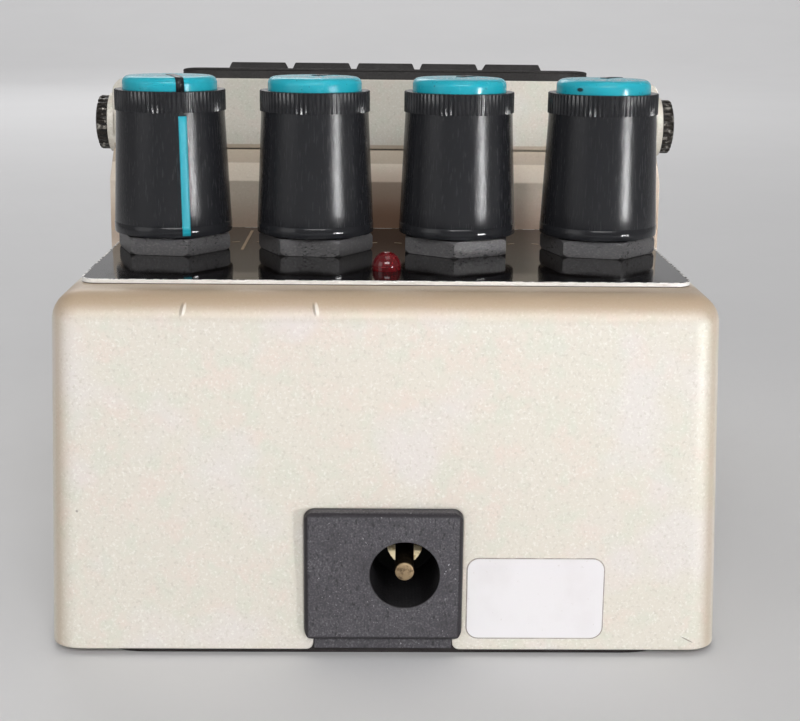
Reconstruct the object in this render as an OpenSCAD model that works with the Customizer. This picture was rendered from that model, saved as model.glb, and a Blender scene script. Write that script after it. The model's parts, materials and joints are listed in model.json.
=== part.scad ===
// Compact delay pedal: a cast housing with a hinged treadle, four turning controls and side jacks.
// Millimetres. +Z is up, the player stands on the -Y side and the controls are on the +Y side.
// The origin is the middle of the footprint, on the floor.

/* [Housing] */
// Width of the casting at its foot
base_w = 73.6; // [72:0.2:76]
// How far each side leans in up to the control deck
side_draft = 1.4; // [1:0.1:2]
// How far each side leans in up to hinge height
shoulder_draft = 0.8; // [0.4:0.1:1]
// Length of the casting at its foot
body_d = 128; // [126:1:134]
// Height of the control deck above the foot edge
body_h = 39.2; // [38:0.2:44]
// Thickness of the cast walls
wall = 2.5; // [2:0.1:2.8]
// Rounding of the control section's top edges
edge_r = 3.2; // [2:0.1:4]
// Rounding of the upright corners
corner_r = 3.5; // [2.5:0.1:5]
// How far the rear face leans in from foot to deck
rear_draft = 1.2; // [0.6:0.1:2]
// How far the front face leans in up to hinge height
front_draft = 1; // [0.5:0.1:1.5]

/* [Base] */
// Thickness of the rubber sheet under the foot
rubber_t = 0.8; // [0.4:0.1:1.5]
// Distance of the rubber sheet from the foot's sides
rubber_side = 2.5; // [1.5:0.1:5]
// Distance of the rubber sheet from the foot's front and rear edges
rubber_set = 0.8; // [0.3:0.1:3]
// Corner radius of the rubber sheet
rubber_r = 8; // [6:0.5:10]
// Thickness of the steel base plate
base_t = 1.2; // [0.8:0.1:1.6]
// Width of the casting's foot rim around the base plate
rim_w = 2.2; // [1.8:0.1:2.6]
// Radius of the base screw shank
base_screw_r = 1.5; // [1.2:0.1:1.7]
// Radius of the base screw head
base_head_r = 2.8; // [2.4:0.1:3]
// Length of the base screws
base_screw_l = 9; // [7:0.5:12]

/* [Control plate] */
// Distance of the control plate from the deck's sides
plate_side = 2.4; // [2:0.1:3]
// Depth of the control plate
plate_d = 36; // [35:0.2:38]
// Thickness of the control plate
plate_t = 0.5; // [0.4:0.1:1]
// Corner radius of the control plate
plate_r = 1.8; // [1:0.1:3]
// Distance from the rear face to the plate
plate_margin = 5.8; // [4.5:0.1:7]

/* [Controls] */
// Distance of the outer control axes from the plate's ends
plate_end = 7.4; // [7.15:0.05:7.6]
// Distance of the control axes from the plate's rear edge
knob_back = 20.3; // [19:0.1:22]
// Radius of the control spindles
shaft_r = 3; // [2.5:0.1:3.1]
// Radius of the threaded bushings
bushing_r = 4.5; // [4:0.1:4.6]
// Height of the bushings above the plate
bushing_h = 4.5; // [3:0.1:5]
// Width across the flats of the control nuts
nut_af = 12; // [11:0.1:13]
// Thickness of the control nuts
nut_t = 2; // [1.5:0.1:2.5]
// Width of a control's case
pot_w = 13; // [11:0.1:13.2]
// Depth of a control's case
pot_d = 16; // [13:0.5:18]
// Height of a control's case
pot_h = 7.5; // [6:0.1:9]

/* [Knobs] */
// Gap between a nut and the knob above it
knob_gap = 0.2; // [0.2:0.05:0.5]
// Height of the straight band at the foot of a knob
band_h = 1.27; // [0.8:0.01:2]
// Radius of the straight band
knob_r = 7; // [6.6:0.05:7.2]
// Radius of the tapered grip at its top
grip_r = 6.35; // [6:0.05:6.6]
// Height of the knob from the plate to the knurled band
grip_h = 16.5; // [15:0.1:18]
// Radius over the knurled band's ribs
knurl_r = 6.5; // [6.2:0.05:6.8]
// Height of the knurled band
knurl_h = 2.4; // [1.5:0.1:3]
// Number of ribs on the knurled band
knurl_n = 54; // [30:1:72]
// Depth of the grooves between the ribs
knurl_cut = 0.3; // [0.15:0.05:0.4]
// Radius of the coloured cap
cap_r = 5.55; // [5:0.05:5.8]
// Height of the coloured cap
cap_h = 1.65; // [1:0.05:2.5]
// Rounding of the cap's rim
cap_round = 0.8; // [0.3:0.05:0.9]
// Width of the pointer rib that shows in the cap
pointer_w = 1; // [0.8:0.1:1.6]
// Turn of the mode pointer from straight back
mode_angle = 20; // [-60:1:60]
// Turn of the other pointers from straight back
low_angle = 150; // [140:1:150]

/* [Lamp] */
// Radius of the lamp
lamp_r = 1.6; // [1.5:0.1:2.5]
// Height of the lamp above the plate
lamp_h = 2; // [1.8:0.1:3]
// Distance of the lamp from the plate's rear edge
lamp_back = 6.9; // [6:0.1:8]

/* [Treadle] */
// Slope of the treadle towards the player
tilt = 9; // [7:0.5:10]
// Turn of the treadle when it is pressed
press_angle = 2; // [1:0.5:2.5]
// Distance of the hinge axis in front of the control deck's wall
hinge_back = 7; // [6.5:0.1:8]
// Height of the hinge axis above the control deck
hinge_rise = 13.5; // [13:0.1:15]
// Distance of the treadle's sides inside the foot's sides
treadle_set = 0.8; // [0.6:0.1:1]
// Reach of the treadle's rear wall behind the hinge axis
rear_reach = 3.5; // [3.3:0.05:3.6]
// Height of the treadle's rear edge above the hinge axis
top_rise = 6.1; // [6:0.1:6.6]
// Thickness of the treadle's top
top_t = 1.9; // [1.6:0.05:1.95]
// Thickness of the treadle's skirts
skirt_t = 2.5; // [2:0.1:2.7]
// Depth of the skirts below the hinge axis
ear_r = 4.4; // [4:0.1:4.5]
// Rounding of the treadle's long edges
treadle_round = 2; // [1:0.1:2.4]
// Rounding of the treadle's nose
nose_r = 2.5; // [1:0.1:3]

/* [Hinge] */
// Radius of the pivot screw shank
pivot_r = 2; // [1.8:0.05:2.1]
// Radius of the pivot screw head
pivot_head_r = 3.5; // [3:0.1:4]
// Thickness of the pivot screw head
pivot_head_t = 1.65; // [1.2:0.05:2]
// Height of the raised pad round each pivot screw
ear_pad = 0.8; // [0.5:0.1:1]
// Radius of the hinge bosses on the housing
boss_r = 3.3; // [3.1:0.05:3.4]
// Length of the hinge bosses
boss_l = 3.5; // [3:0.1:4]
// Radius of the trough under the hinge
trough_r = 4.75; // [4.7:0.05:5]

/* [Tread pad] */
// Distance of the rubber tread from the treadle's sides
pad_side = 6.15; // [5:0.05:8]
// Distance of the rubber tread from the treadle's nose
pad_nose = 14.6; // [14:0.1:18]
// Distance of the tread behind the hinge axis, along the treadle
pad_start = 16.5; // [14:0.5:18]
// Thickness of the tread's sheet
pad_t = 3.7; // [2:0.1:4]
// Height of the raised blocks
block_h = 1.4; // [0.5:0.1:1.6]
// Width of the plain border beside the blocks
block_border = 6.2; // [5:0.1:9]
// Number of blocks across
block_nx = 5; // [3:1:6]
// Number of blocks along
block_ny = 4; // [3:1:5]

/* [Battery bay] */
// Distance of the battery bay from the coamings' inner faces
bay_side = 2.5; // [2.5:0.1:3.5]
// Distance of the battery bay from the casting's front
bay_front = 37.5; // [36:0.5:38]
// Height of the bay's floor above the ground
bay_z = 20; // [18:0.5:22]
// Distance of the bay in front of the hinge axis
bay_back = 11.8; // [11:0.1:13]

/* [Thumbscrew] */
// Radius of the thumbscrew's knurled head
thumb_head_r = 4.75; // [4:0.05:5]
// Height of the thumbscrew's head
thumb_head_h = 6; // [4:0.1:7]
// Number of grooves in the thumbscrew's head
thumb_grooves = 24; // [12:1:36]
// Radius of the thumbscrew's shank
thumb_r = 2; // [1.5:0.05:2.2]
// Room round the thumbscrew in the housing
thumb_room = 0.75; // [0.7:0.05:1]
// Travel of the thumbscrew when it is undone
thumb_lift = 2.8; // [2:0.1:3]
// Length of the thumbscrew that sits in the housing
thumb_grip = 3; // [2.5:0.1:3.2]
// Radius of the notch that holds the head
notch_r = 6.2; // [5.6:0.1:6.8]
// Depth of the notch below the treadle's top
notch_deep = 6.5; // [6:0.1:7]

/* [Foot switch] */
// Distance of the switch and spring from the treadle's nose
switch_nose = 21.6; // [20.6:0.1:23]
// Distance of the switch and spring from the middle
switch_x = 13; // [12:0.5:15]
// Width of the switch's case
switch_w = 12; // [10:0.5:13]
// Height of the switch's case
switch_h = 8; // [6:0.5:9]
// Radius of the rubber plunger
boot_r = 4.2; // [3.5:0.1:4.5]
// Middle radius of the spring's coil
spring_r = 5; // [4.8:0.1:6]
// Radius of the spring's wire
wire_r = 0.6; // [0.5:0.05:0.7]
// Turns of the spring
spring_n = 5; // [4:1:6]

/* [Jacks] */
// Height of the jacks' axes
jack_z = 16; // [15.5:0.5:17]
// Distance of the input and output jacks in front of the rear face
jack_back = 25.5; // [24:0.5:27]
// Distance between the two output jacks
jack_pitch = 18; // [16.5:0.5:20]
// Radius of a jack's plug hole
plug_r = 3.25; // [3.2:0.05:3.35]
// Radius of a jack's threaded bush
jack_bush_r = 4.75; // [4.5:0.05:5]
// Length of a jack's case
jack_l = 25; // [22:0.5:26]
// Width of a jack's case
jack_w = 14; // [12:0.5:15]
// Height of a jack's case
jack_h = 13; // [11:0.5:13]
// Thickness of a jack's nut
jack_nut_t = 2.3; // [1.8:0.1:2.4]
// Width across the flats of a jack's nut
jack_nut_af = 12.7; // [11.5:0.1:14]
// Thickness of a jack's washer
jack_washer_t = 0.8; // [0.5:0.1:1]
// Radius of a jack's washer
jack_washer_r = 7.4; // [7:0.1:8]

/* [Power inlet] */
// Width of the inlet block
inlet_w = 17.1; // [16:0.1:19]
// Sideways place of the power inlet's middle
inlet_x = 0.2; // [-0.5:0.1:0.5]
// Height of the inlet block
inlet_h = 14.7; // [14:0.1:16]
// Height of the block's lower edge above the ground
inlet_z = 2.2; // [2:0.1:3]
// How far the block stands out of the rear face
inlet_proud = 1; // [0.6:0.1:1.5]
// Depth of the block behind its face
inlet_d = 13.5; // [12:0.5:15]
// Rounding of the block's edges
inlet_round = 0.8; // [0.5:0.1:1.5]
// Corner radius of the inlet block seen from behind
inlet_corner = 1.1; // [0.6:0.1:1.5]
// Radius of the plug hole in the block
inlet_bore_r = 3.75; // [3.2:0.05:4]
// Sideways offset of the plug hole
inlet_bore_x = -2.1; // [-3:0.1:0]
// Height of the plug hole above the ground
inlet_bore_z = 9.9; // [9:0.1:10.2]
// Depth of the plug hole
inlet_bore_l = 10; // [9:0.5:11]
// Radius of the centre pin
inlet_pin_r = 1.05; // [0.9:0.05:1.25]
// Width of the tongue below the block
tongue_w = 15.1; // [12:0.1:15.5]

/* [Boards] */
// Thickness of the circuit boards
board_t = 1.6; // [1:0.1:2]
// Height of the spacers under the main board
spacer_h = 3.2; // [2:0.1:3.4]
// Radius of the spacers
spacer_r = 2.5; // [1.5:0.1:3]
// Height of the chips
chip_h = 2.4; // [1.5:0.1:3]
// Length of the chips
chip_l = 18; // [12:0.5:20]
// Width of the chips at their foot
chip_w = 7.2; // [6:0.2:8]
// Radius of the capacitors
cap_can_r = 2.5; // [2:0.1:3]
// Height of the capacitors
cap_can_h = 7; // [5:0.5:8]

/* [Hidden] */
// Running clearance of a spindle in its bearing
run_gap = 0.05;
// Clearance of a piece in its seat on the same body
seat_gap = 0.05;
// Clearance between moving pieces that pass each other
pass_gap = 0.4;
// Clearance at the end of a bore or a travel
end_gap = 0.3;
// Clearance round a head, washer or collar in its recess
spot_gap = 0.6;
// Side play of the treadle's ears beside the hinge bosses
ear_play = 0.5;
// Smallest overlap used to join or cut cleanly
eps = 0.02;
// Reach of a cut past the face that it opens
over = 1;
// Thickness of the thin slices that a hull is stretched over
slice = 0.1;
// Facets of the casting's rounded corners
cast_fn = 32;
// Facets of the slices at the casting's inner corners
slice_fn = 16;
$fn = 64;

// Widths, all driven by the foot
top_w = base_w - 2 * side_draft;
shoulder_w = base_w - 2 * shoulder_draft;
treadle_w = base_w - 2 * treadle_set;
rubber_w = base_w - 2 * rubber_side;
plate_w = top_w - 2 * plate_side;
pitch = (plate_w - 2 * plate_end) / 3;

// Control section
foot_z = rubber_t;
deck_z = foot_z + body_h;
front_y = -(body_d + inlet_proud) / 2;
rear_y = front_y + body_d;
rear_top_y = rear_y - rear_draft;
plate_z = deck_z + plate_t;
plate_gap = 0.2;
plate_y1 = rear_top_y - plate_margin;
wall_y = plate_y1 - plate_d - plate_gap;
knob_y = plate_y1 - knob_back;
lamp_y = plate_y1 - lamp_back;
knob_x = [pitch * 1.5, pitch * 0.5, -pitch * 0.5, -pitch * 1.5];

// Treadle and hinge
pivot_y = wall_y - hinge_back;
pivot_z = deck_z + hinge_rise;
top_h = (top_rise - rear_reach * tan(tilt)) * cos(tilt);
under_h = top_h - top_t;
nose_set = 0.3;
treadle_l = (pivot_y - front_y - nose_set) / cos(tilt) - top_h * tan(tilt);
ear_in = treadle_w / 2 - skirt_t;
coaming_out = ear_in - ear_play;
coaming_in = coaming_out - wall;
lip_half = coaming_out - boss_l - ear_play;
lip_t = 2;
lip_drop = 3;
gap_spare = 0.5;
gap_angle = tilt + press_angle + gap_spare;
coaming_top = -1;
deck_drop = 9;
deck_under = deck_drop + wall;
blank_top = pivot_z;
trough_steps = 8;
trough_start = -41;
trough_out = hinge_back + over;
cut_top = 20;
post_end = -3;
pivot_bush_r = pivot_r + 1;
pivot_bush_play = 0.15;
pivot_bush_l = treadle_w / 2 + ear_pad - coaming_out - pivot_bush_play;
ear_pad_r = pivot_head_r + pass_gap;
head_x = treadle_w / 2 + ear_pad + 2 * seat_gap;
head_round = 1.2;
pivot_cross_w = 0.9;
pivot_cross_l = 3.6;
pivot_cross_deep = 1;

// Rubber tread
pad_w = treadle_w - 2 * pad_side;
pad_l = treadle_l - pad_start - pad_nose;
pad_corner_r = 3;
block_pitch = (pad_w - 2 * block_border) / block_nx;
block_slope = 0.5;
block_half = block_pitch / 2 - 0.2;

// Inside of the casting
base_z1 = foot_z + base_t;
rim_step = 0.6;
front_step = 1.3;
base_gap = 0.15;
cavity_x = top_w / 2 - wall;
low_cavity_x = base_w / 2 - rim_w - rim_step;
low_cavity_z = bay_z - wall;
cavity_y0 = front_y + rim_w + front_step;
cavity_y1 = rear_top_y - wall;
cavity_r = corner_r - wall / 2;
bay_w = 2 * (coaming_in - bay_side);
bay_y1 = pivot_y - bay_back;
bay_y0 = front_y + bay_front;
post_wall = 2.1;
post_sink = 0.3;
screw_post_r = base_screw_r + post_wall;
post_x = cavity_x - screw_post_r + 2 * post_sink;
post_y = [cavity_y0 + screw_post_r - post_sink, cavity_y1 - screw_post_r + post_sink];
post_h = 20;
base_screw_gap = 0.2;
base_cross_w = 0.6;
base_cross_deep = 0.7;

// Controls and lamp
pot_floor = 1.5;
pot_round = 1.5;
pot_z1 = deck_z - wall;
pot_z0 = pot_z1 - pot_h;
board_z1 = pot_z0;
nut_r = nut_af / sqrt(3);
nut_round_r = nut_r - 0.3;
nut_slope = 0.8;
// Turn of each nut about its axis, as tightened
nut_turn = [51, -4, 25, 47];
knob_z0 = plate_z + nut_t + knob_gap;
knob_chamfer = 0.25;
knob_step = 0.1;
knurl_z0 = plate_z + grip_h;
cap_z0 = knurl_z0 + knurl_h;
shaft_z0 = pot_z0 + pot_floor + 4 * seat_gap;
shaft_short = 2;
shaft_z1 = knurl_z0 - shaft_short;
bushing_z1 = plate_z + bushing_h;
flat_z0 = bushing_z1 + end_gap;
shaft_flat = shaft_r / 2;
lamp_flange = 0.4;
lamp_flange_h = 1;
lamp_lead_r = 1;

// Jacks
jack_y = rear_y - jack_back;
jack_face = top_w / 2;
jack_in = cavity_x;
jack_seat = 2;
jack_proud = 0.3;
jack_out = jack_face + jack_washer_t + jack_nut_t + jack_proud;
jack_round = 1.5;
plug_room = 0.4;
jacks = [[1, jack_y], [-1, jack_y], [-1, jack_y - jack_pitch]];
lug_l = 2.5;
lug_w = 2.4;
lug_t = 0.6;

// Boards
board_edge = 1;
board_side = 3;
board_gap = 1.2;
board_past_bay = 19;
main_z0 = base_z1 + spacer_h;
main_z1 = main_z0 + board_t;
main_y0 = post_y[0] + screw_post_r + board_gap;
main_y1 = bay_y1 + board_past_bay;
main_x = low_cavity_x - board_side;
spacer_in = 4;
chip_draft = 0.4;
// Places of the chips, as shares of the board's half width and of its length
chip_at = [[-0.46, 0.28], [0.39, 0.28], [-0.07, 0.55]];
cap_can_n = 5;
cap_can_pitch = 4 * cap_can_r;
cap_can_row = 0.8;
cap_vent_w = 0.4;
cap_vent_deep = 0.8;

// Thumbscrew
nose_gap = 0.7;
coaming_y0 = pivot_y - (treadle_l - skirt_t) * cos(tilt) + ear_r * sin(tilt) + nose_gap;
thumb_y = -(treadle_l - notch_r);
thumb_bay = notch_r + 3;
notch_floor = top_h - notch_deep;
notch_wall = 2;
ledge_t = 2.4;
ledge_under = notch_floor - ledge_t;
thumb_washer_t = 0.8;
thumb_washer_set = 0.4;
thumb_hole_gap = 0.25;
thumb_cut = 0.35;
clip_t = 0.8;
clip_r = thumb_r + 1.6;
clip_slot = 0.8;
clip_top = ledge_under - thumb_lift - end_gap;
press_drop = treadle_l * sin(press_angle);
thumb_clear = ledge_under - press_drop - pass_gap;
thumb_seat = clip_top - clip_t - press_drop - pass_gap;
thumb_end = thumb_seat - thumb_grip;
thumb_post_end = thumb_end - press_drop - 2;
thumb_post_r = thumb_r + thumb_room + 2.2;

// Foot switch and spring
switch_reach = treadle_l - switch_nose;
switch_round = 1;
boot_collar_h = 3;
boot_step = 0.8;
boot_chamfer = 1;
boot_top = deck_under + post_end - pass_gap;
boot_post_r = boot_r - 0.5;
spring_boss_r = spring_r - wire_r - pass_gap;
spring_boss_h = 2;
spring_low = -deck_drop + wire_r + seat_gap;
spring_high = under_h - wire_r - seat_gap;
spring_sides = 6;
spring_turn_steps = 8;
spring_steps = spring_turn_steps * spring_n;

// Power inlet
inlet_y1 = rear_y + inlet_proud;
inlet_y0 = inlet_y1 - inlet_d;
inlet_zc = inlet_z + inlet_h / 2;
tongue_lap = 0.5;
pin_tail = 2;
pin_set = 0.9;
pin_tip = 0.5;
pin_tip_share = 0.55;
contact_x = 1.35;
contact_z = 2.6;
contact_w = 0.9;
contact_t = 0.5;
contact_set = 1.8;
slot_round = 0.8;

// Helpers

// A rectangle with round corners, in the plane, centred
module round_rect(w, h, r) {
    square([w - 2 * r, h], center = true);
    square([w, h - 2 * r], center = true);
    for (sx = [-1, 1])
        for (sy = [-1, 1])
            translate([sx * (w / 2 - r), sy * (h / 2 - r)])
                circle(r);
}

// A flat outline in Y and Z, stretched along X
module along_x(length) {
    rotate([90, 0, 90])
        linear_extrude(length, center = true)
            children();
}

// A flat outline in X and Z, stretched along Y
module along_y(length) {
    rotate([90, 0, 0])
        linear_extrude(length, center = true)
            children();
}

// A round bar along X, centred
module bar_x(r, length) {
    rotate([0, 90, 0])
        cylinder(r = r, h = length, center = true);
}

// The treadle's own frame: origin on the hinge axis, Y along the slope, Z square to it
module on_treadle() {
    translate([0, pivot_y, pivot_z])
        rotate([tilt, 0, 0])
            children();
}

// A box between two corners
module box(low, high) {
    translate(low)
        cube(high - low);
}

// A hexagonal prism given by its width across the flats
module hexagon(af, h) {
    cylinder(r = af / sqrt(3), h = h, $fn = 6);
}

// Housing

// The control section: drafted sides, a leaning rear face and rounded top edges
module control_section() {
    hull()
        for (sx = [-1, 1]) {
            translate([sx * (base_w / 2 - corner_r), rear_y - corner_r, foot_z])
                cylinder(r = corner_r, h = slice, $fn = cast_fn);
            translate([sx * (base_w / 2 - corner_r), wall_y - edge_r, foot_z])
                cylinder(r = corner_r, h = slice, $fn = cast_fn);
            for (y = [rear_top_y - edge_r, wall_y - edge_r])
                translate([sx * (top_w / 2 - edge_r), y, deck_z - edge_r]) {
                    sphere(edge_r, $fn = cast_fn);
                    cylinder(r = slice, h = edge_r, $fn = slice_fn);
                }
        }
}

// The treadle section before the hinge profile is cut
module treadle_section() {
    hull()
        for (sx = [-1, 1]) {
            translate([sx * (base_w / 2 - corner_r), front_y + corner_r, foot_z])
                cylinder(r = corner_r, h = slice, $fn = cast_fn);
            translate([sx * (shoulder_w / 2 - corner_r), front_y + front_draft + corner_r, blank_top])
                cylinder(r = corner_r, h = slice, $fn = cast_fn);
            translate([sx * (base_w / 2 - slice), wall_y - slice, foot_z])
                cylinder(r = slice, h = slice, $fn = slice_fn);
            translate([sx * (shoulder_w / 2 - slice), wall_y - slice, blank_top])
                cylinder(r = slice, h = slice, $fn = slice_fn);
        }
}

// Round trough and sloping ridge behind the hinge, as the rear end of a cut in the hinge's own place
function trough(end_angle) = concat(
    [[trough_out, -trough_out]],
    [for (i = [0:trough_steps])
        let (a = trough_start + (end_angle - trough_start) * i / trough_steps)
            trough_r * [cos(a), sin(a)]]
);

// Room above the outer walls, under the treadle's skirts
module above_walls() {
    reach = pivot_y - front_y + corner_r;
    low = gap_angle - 90;
    foot = trough_r * [cos(low), sin(low)];
    translate([0, pivot_y, pivot_z])
        along_x(base_w + 2 * over)
            polygon(concat(trough(low), [
                foot - reach * [1, tan(gap_angle)],
                [-reach, cut_top],
                [trough_out, cut_top]
            ]));
}

// Room above the inner deck, between the coamings
module above_deck() {
    reach = pivot_y - coaming_y0 - wall;
    step = -trough_r - pass_gap;
    translate([0, pivot_y, pivot_z])
        along_x(2 * coaming_in)
            polygon(concat(trough(-90), [
                [step, -trough_r],
                [step, (step * sin(tilt) - deck_drop) / cos(tilt)],
                [-reach, (-reach * sin(tilt) - deck_drop) / cos(tilt)],
                [-reach, cut_top],
                [trough_out, cut_top]
            ]));
}

// Room above one coaming, beside the deck
module above_coaming() {
    reach = treadle_l + ear_r;
    translate([0, pivot_y, pivot_z])
        along_x(2 * coaming_out)
            polygon(concat(trough(-80), [
                [0, coaming_top],
                [-reach, -reach * tan(tilt) + coaming_top],
                [-reach, cut_top],
                [trough_out, cut_top]
            ]));
}

// The treadle section with its ridge, walls, coamings and hinge bosses
module hinged_section() {
    difference() {
        treadle_section();
        difference() {
            above_walls();
            box([-coaming_out, coaming_y0, 0], [coaming_out, pivot_y, blank_top + over]);
        }
        above_coaming();
        above_deck();
        on_treadle()
            box([-thumb_bay, -2 * treadle_l, thumb_clear], [thumb_bay, -switch_reach, deck_z]);
    }
    for (sx = [-1, 1]) {
        translate([sx * (coaming_out - boss_l / 2), pivot_y, pivot_z])
            bar_x(boss_r, boss_l);
        box([sx > 0 ? coaming_out - boss_l : -coaming_out, pivot_y - boss_r, pivot_z - trough_r - wall],
            [sx > 0 ? coaming_out : -coaming_out + boss_l, pivot_y + boss_r, pivot_z]);
    }
}

// Space inside the casting for the boards, jacks and controls
module inner_space() {
    translate([0, (wall_y - wall + cavity_y1) / 2, foot_z - over])
        linear_extrude(pot_z1 - foot_z + over)
            round_rect(2 * cavity_x, cavity_y1 - wall_y + wall, cavity_r);
    translate([0, (cavity_y0 + cavity_y1) / 2, foot_z - over])
        linear_extrude(low_cavity_z - foot_z + over)
            round_rect(2 * cavity_x, cavity_y1 - cavity_y0, cavity_r);
    box([-cavity_x, bay_y1 + wall, foot_z], [cavity_x, wall_y + wall, jack_z + jack_h / 2 + over]);
    box([-coaming_in, bay_y1 + wall, foot_z], [coaming_in, wall_y + wall, deck_z - wall]);
    intersection() {
        box([-coaming_in, cavity_y0 + wall, low_cavity_z - over], [coaming_in, bay_y0 - wall, deck_z]);
        on_treadle()
            box([-coaming_in, -2 * treadle_l, -2 * deck_z], [coaming_in, 0, -deck_under]);
    }
}

module jack_holes() {
    for (j = jacks)
        translate([j[0] * jack_face, j[1], jack_z]) {
            translate([j[0] * wall, 0, 0])
                bar_x(jack_washer_r + spot_gap, 2 * wall);
            bar_x(jack_bush_r + seat_gap, 4 * wall);
        }
}

// What rounds off one lower corner of the slot under the inlet block
module slot_corner(side) {
    along_y(4 * wall)
        difference() {
            translate([side * slot_round / 2, slot_round / 2 - over])
                square([slot_round + 2 * over, slot_round + 2 * over], center = true);
            translate([side * slot_round, slot_round])
                circle(slot_round);
            translate([side * 2 * slot_round, slot_round])
                square([2 * slot_round, 4 * slot_round], center = true);
            translate([0, 2 * slot_round])
                square([4 * slot_round, 2 * slot_round], center = true);
        }
}

module inlet_opening() {
    translate([inlet_x, rear_y, inlet_zc])
        along_y(4 * wall)
            round_rect(inlet_w + 2 * seat_gap, inlet_h + 2 * seat_gap, inlet_corner + seat_gap);
    box([inlet_x - tongue_w / 2 - seat_gap, rear_y - 2 * wall, foot_z - over],
        [inlet_x + tongue_w / 2 + seat_gap, rear_y + over, inlet_zc]);
    for (sx = [-1, 1])
        translate([inlet_x + sx * (tongue_w / 2 + seat_gap), rear_y, foot_z])
            slot_corner(sx);
}

module housing() color([0.89, 0.87, 0.81]) {
    difference() {
        union() {
            control_section();
            hinged_section();
        }
        difference() {
            inner_space();
            for (sx = [-1, 1])
                for (y = post_y)
                    translate([sx * post_x, y, 0])
                        cylinder(r = screw_post_r, h = base_z1 + post_h);
            on_treadle()
                translate([0, thumb_y, thumb_post_end])
                    cylinder(r = thumb_post_r, h = -thumb_post_end);
        }
        translate([0, (front_y + rear_y) / 2, foot_z - over])
            linear_extrude(base_t + over)
                round_rect(base_w - 2 * rim_w, body_d - 2 * rim_w, corner_r);
        box([-bay_w / 2, bay_y0, bay_z], [bay_w / 2, bay_y1, blank_top]);
        for (sx = [-1, 1]) {
            for (y = post_y)
                translate([sx * post_x, y, 0])
                    cylinder(r = base_screw_r + seat_gap, h = foot_z + base_screw_l + over);
            translate([sx * coaming_out, pivot_y, pivot_z])
                bar_x(pivot_r + seat_gap, 3 * boss_l);
        }
        for (x = knob_x)
            translate([x, knob_y, pot_z1 - over])
                cylinder(r = bushing_r + seat_gap, h = 3 * wall);
        translate([0, lamp_y, pot_z1 - over])
            cylinder(r = lamp_r + lamp_flange + 2 * seat_gap, h = 3 * wall);
        on_treadle() {
            translate([0, thumb_y, thumb_post_end - over])
                cylinder(r = thumb_r + thumb_room, h = 3 * deck_drop);
            translate([0, thumb_y, thumb_seat])
                cylinder(r = clip_r + thumb_room + spot_gap, h = 2 * deck_drop);
            translate([switch_x, -switch_reach, -deck_under - over])
                cylinder(r = boot_r + end_gap, h = 3 * wall);
        }
        jack_holes();
        inlet_opening();
    }
    on_treadle()
        translate([-switch_x, -switch_reach, -deck_drop - eps])
            cylinder(r = spring_boss_r, h = spring_boss_h);
}

// Base

module base_plate() color([0.42, 0.43, 0.45])
    difference() {
        translate([0, (front_y + rear_y) / 2, foot_z])
            linear_extrude(base_t)
                round_rect(base_w - 2 * rim_w - 2 * base_gap, body_d - 2 * rim_w - 2 * base_gap, corner_r);
        for (sx = [-1, 1])
            for (y = post_y)
                translate([sx * post_x, y, foot_z]) {
                    translate([0, 0, -over])
                        cylinder(r = base_screw_r + base_screw_gap, h = base_t + 2 * over);
                    cylinder(r1 = base_head_r + 2 * seat_gap, r2 = base_screw_r + 2 * seat_gap, h = base_t);
                }
    }

module base_rubber() color([0.13, 0.11, 0.11])
    difference() {
        translate([0, (front_y + rear_y) / 2, 0])
            linear_extrude(rubber_t)
                round_rect(rubber_w, body_d - 2 * rubber_set, rubber_r);
        for (sx = [-1, 1])
            for (y = post_y)
                translate([sx * post_x, y, -over])
                    cylinder(r = base_head_r + spot_gap, h = rubber_t + 2 * over);
    }

module base_screws() color([0.6, 0.6, 0.62])
    for (sx = [-1, 1])
        for (y = post_y)
            translate([sx * post_x, y, foot_z])
                difference() {
                    union() {
                        cylinder(r1 = base_head_r, r2 = base_screw_r, h = base_t);
                        cylinder(r = base_screw_r, h = base_screw_l);
                    }
                    for (a = [0, 90])
                        rotate([0, 0, a])
                            cube([2 * base_screw_r, base_cross_w, 2 * base_cross_deep], center = true);
                }

// Controls

module control_plate() color([0.07, 0.06, 0.06])
    translate([0, plate_y1 - plate_d / 2, deck_z])
        linear_extrude(plate_t)
            difference() {
                round_rect(plate_w, plate_d, plate_r);
                for (x = knob_x)
                    translate([x, knob_y - plate_y1 + plate_d / 2])
                        circle(bushing_r + seat_gap);
                translate([0, lamp_y - plate_y1 + plate_d / 2])
                    circle(lamp_r + 2 * seat_gap);
            }

module control_nuts() color([0.3, 0.3, 0.32])
    for (i = [0:3])
        translate([knob_x[i], knob_y, plate_z])
            difference() {
                intersection() {
                    rotate([0, 0, nut_turn[i]])
                        hexagon(nut_af, nut_t);
                    cylinder(r1 = nut_round_r, r2 = nut_round_r + nut_t * nut_slope, h = nut_t);
                    cylinder(r1 = nut_round_r + nut_t * nut_slope, r2 = nut_round_r, h = nut_t);
                }
                translate([0, 0, -over])
                    cylinder(r = bushing_r + seat_gap, h = nut_t + 2 * over);
            }

// A control's case with its threaded bushing and the bearing for its spindle
module control_case(x) {
    translate([x, knob_y, 0])
        difference() {
            union() {
                translate([0, 0, pot_z0])
                    linear_extrude(pot_h)
                        round_rect(pot_w, pot_d, pot_round);
                translate([0, 0, pot_z1 - over])
                    cylinder(r = bushing_r, h = bushing_z1 - pot_z1 + over);
            }
            translate([0, 0, pot_z0 + pot_floor])
                cylinder(r = shaft_r + run_gap, h = bushing_z1);
        }
}

module mode_switch() color([0.2, 0.22, 0.3])
    control_case(knob_x[0]);

module time_pot() color([0.62, 0.62, 0.6])
    control_case(knob_x[1]);

module feedback_pot() color([0.62, 0.62, 0.6])
    control_case(knob_x[2]);

module level_pot() color([0.62, 0.62, 0.6])
    control_case(knob_x[3]);

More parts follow.
